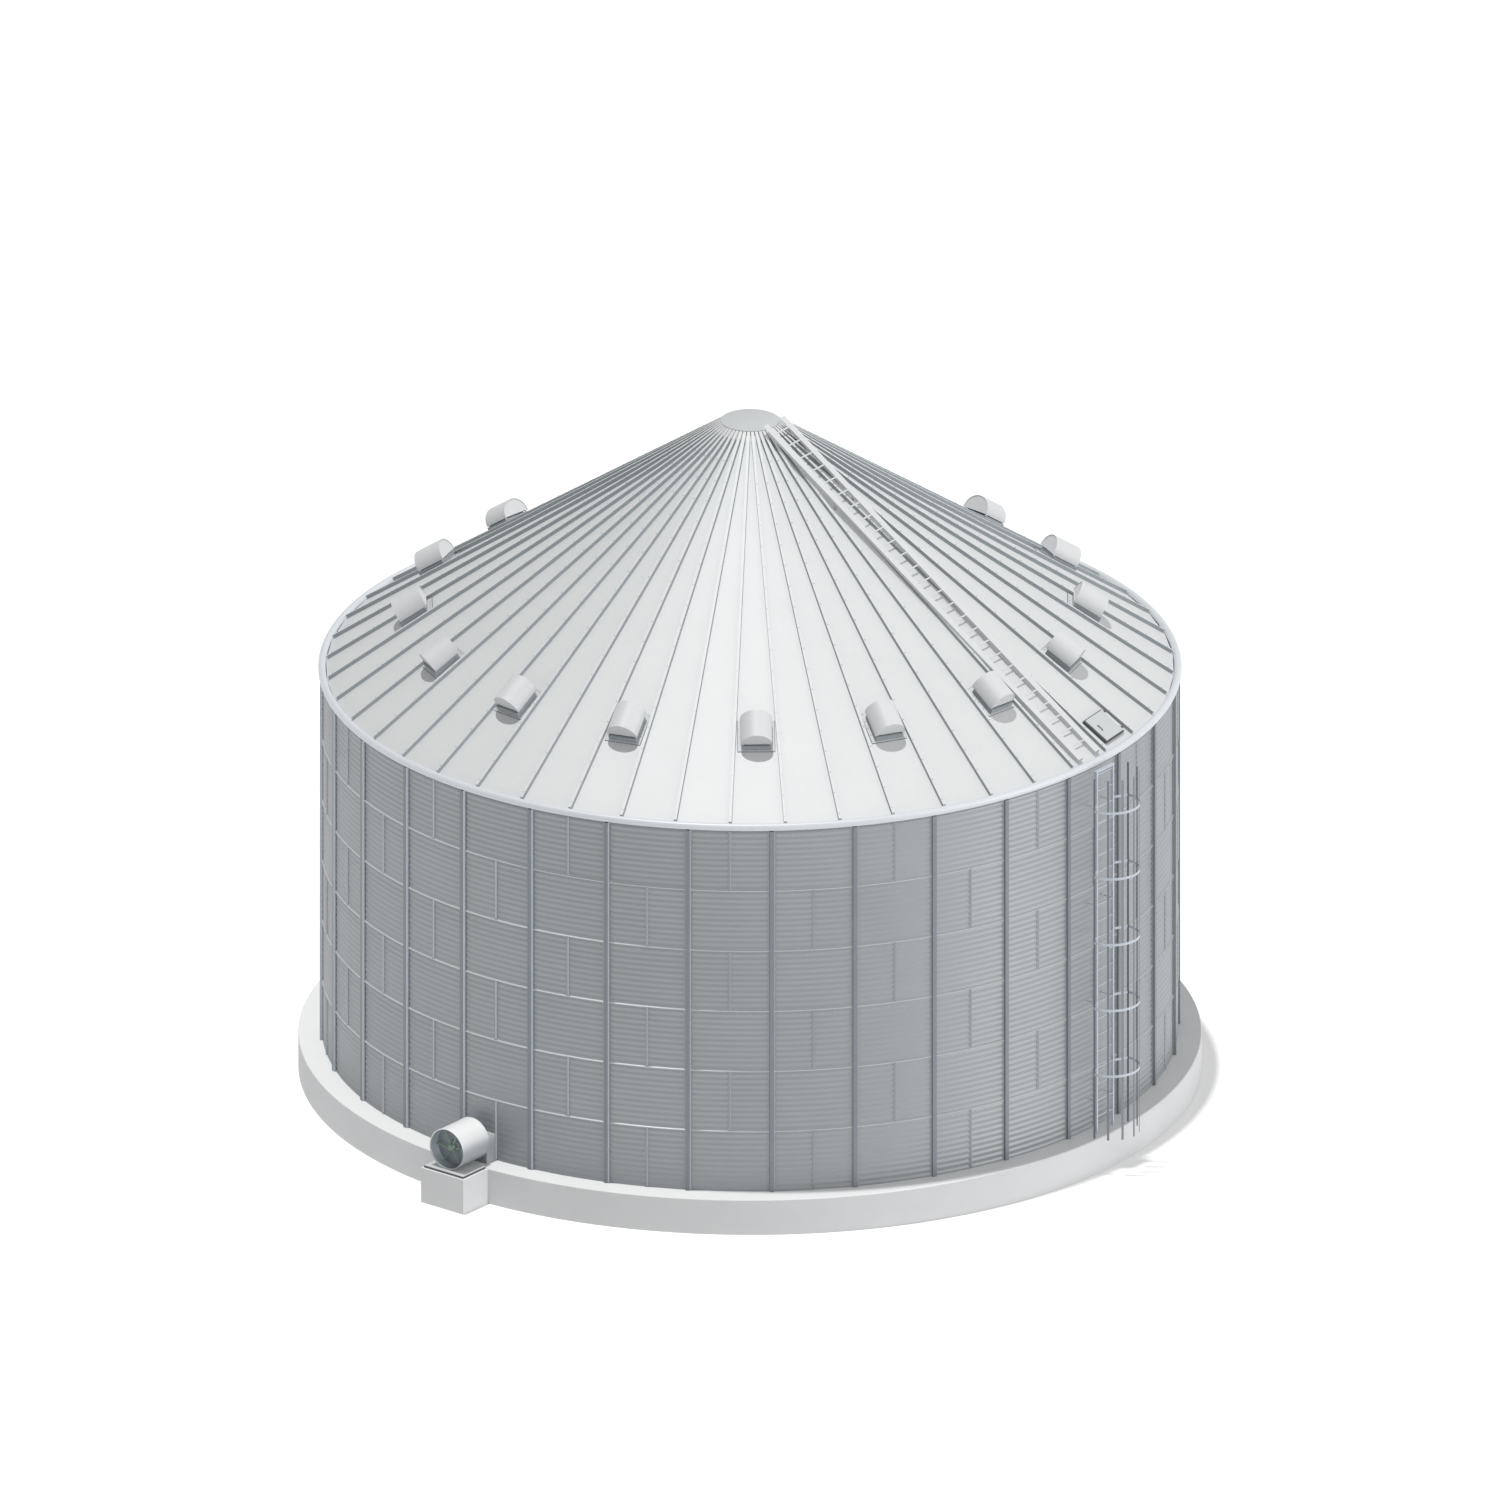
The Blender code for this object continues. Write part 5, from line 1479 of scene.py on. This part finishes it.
bm = bmesh.new()
turn_profile(bm, [(0.0, HUB_BACK), (HUB_RADIUS, HUB_BACK)]
             + [(share * HUB_RADIUS, HUB_FRONT - back) for share, back in HUB_NOSE]
             + [(0.0, HUB_FRONT)], HUB_STEPS, fan_axis)
for blade in range(BLADES):
    turn = fan_axis @ Matrix.Rotation(2 * math.pi * blade / BLADES, 4, "Z")
    loft(bm, [blade_section(turn, station / (BLADE_STATIONS - 1))
              for station in range(BLADE_STATIONS)])
keep(mesh_piece("rotor_blades", bm), "fan_rotor", "rotor_paint",
     ["fan_rotor"])

# %% [markdown]
# ## Floor and light
# The photograph has a plain white ground. The key light comes almost straight down, a
# little from the left. A wide, weaker light from the right keeps that side of the wall
# brighter, and casts no shadow, because the photograph shows none from that side. The sky
# lights everything evenly.

# %% Floor
FLOOR_REACH = 300.0

corners = [(-FLOOR_REACH, -FLOOR_REACH, 0.0), (FLOOR_REACH, -FLOOR_REACH, 0.0),
           (FLOOR_REACH, FLOOR_REACH, 0.0), (-FLOOR_REACH, FLOOR_REACH, 0.0)]
floor_mesh = bpy.data.meshes.new("floor")
floor_mesh.from_pydata(corners, [], [(0, 1, 2, 3)])
_, floor_shader, _ = new_finish("studio_floor", 0.9, 0.0)
floor_shader.inputs["Base Color"].default_value = (0.95, 0.95, 0.95, 1.0)
floor_shader.inputs["Specular IOR Level"].default_value = 0.0
floor_mesh.materials.append(finish["studio_floor"])
floor = add_object("floor", floor_mesh)
print("floor", 2 * FLOOR_REACH, "m wide")


# %% Lights
def sun(name, strength, spread, turn_right, elevation):
    """A sun seen from the camera's side: degrees to the right, and above the horizon."""
    lamp = bpy.data.lights.new(name, "SUN")
    lamp.energy = strength
    lamp.angle = math.radians(spread)
    toward = direction(VIEW_AZIMUTH + turn_right, elevation)
    add_object(name, lamp).rotation_euler = toward.to_track_quat("Z", "Y").to_euler()
    return lamp


sun("key", strength=2.12, spread=1.5, turn_right=-90.0, elevation=85.0)
fill = sun("fill", strength=1.50, spread=30.0, turn_right=72.0, elevation=14.0)
fill.use_shadow = False
world = bpy.data.worlds.new("studio")
world.use_nodes = True
sky = world.node_tree.nodes["Background"]
sky.inputs["Color"].default_value = (1.0, 1.0, 1.0, 1.0)
sky.inputs["Strength"].default_value = 0.50
scene.world = world
scene.view_settings.view_transform = "Standard"
print("lights ready")
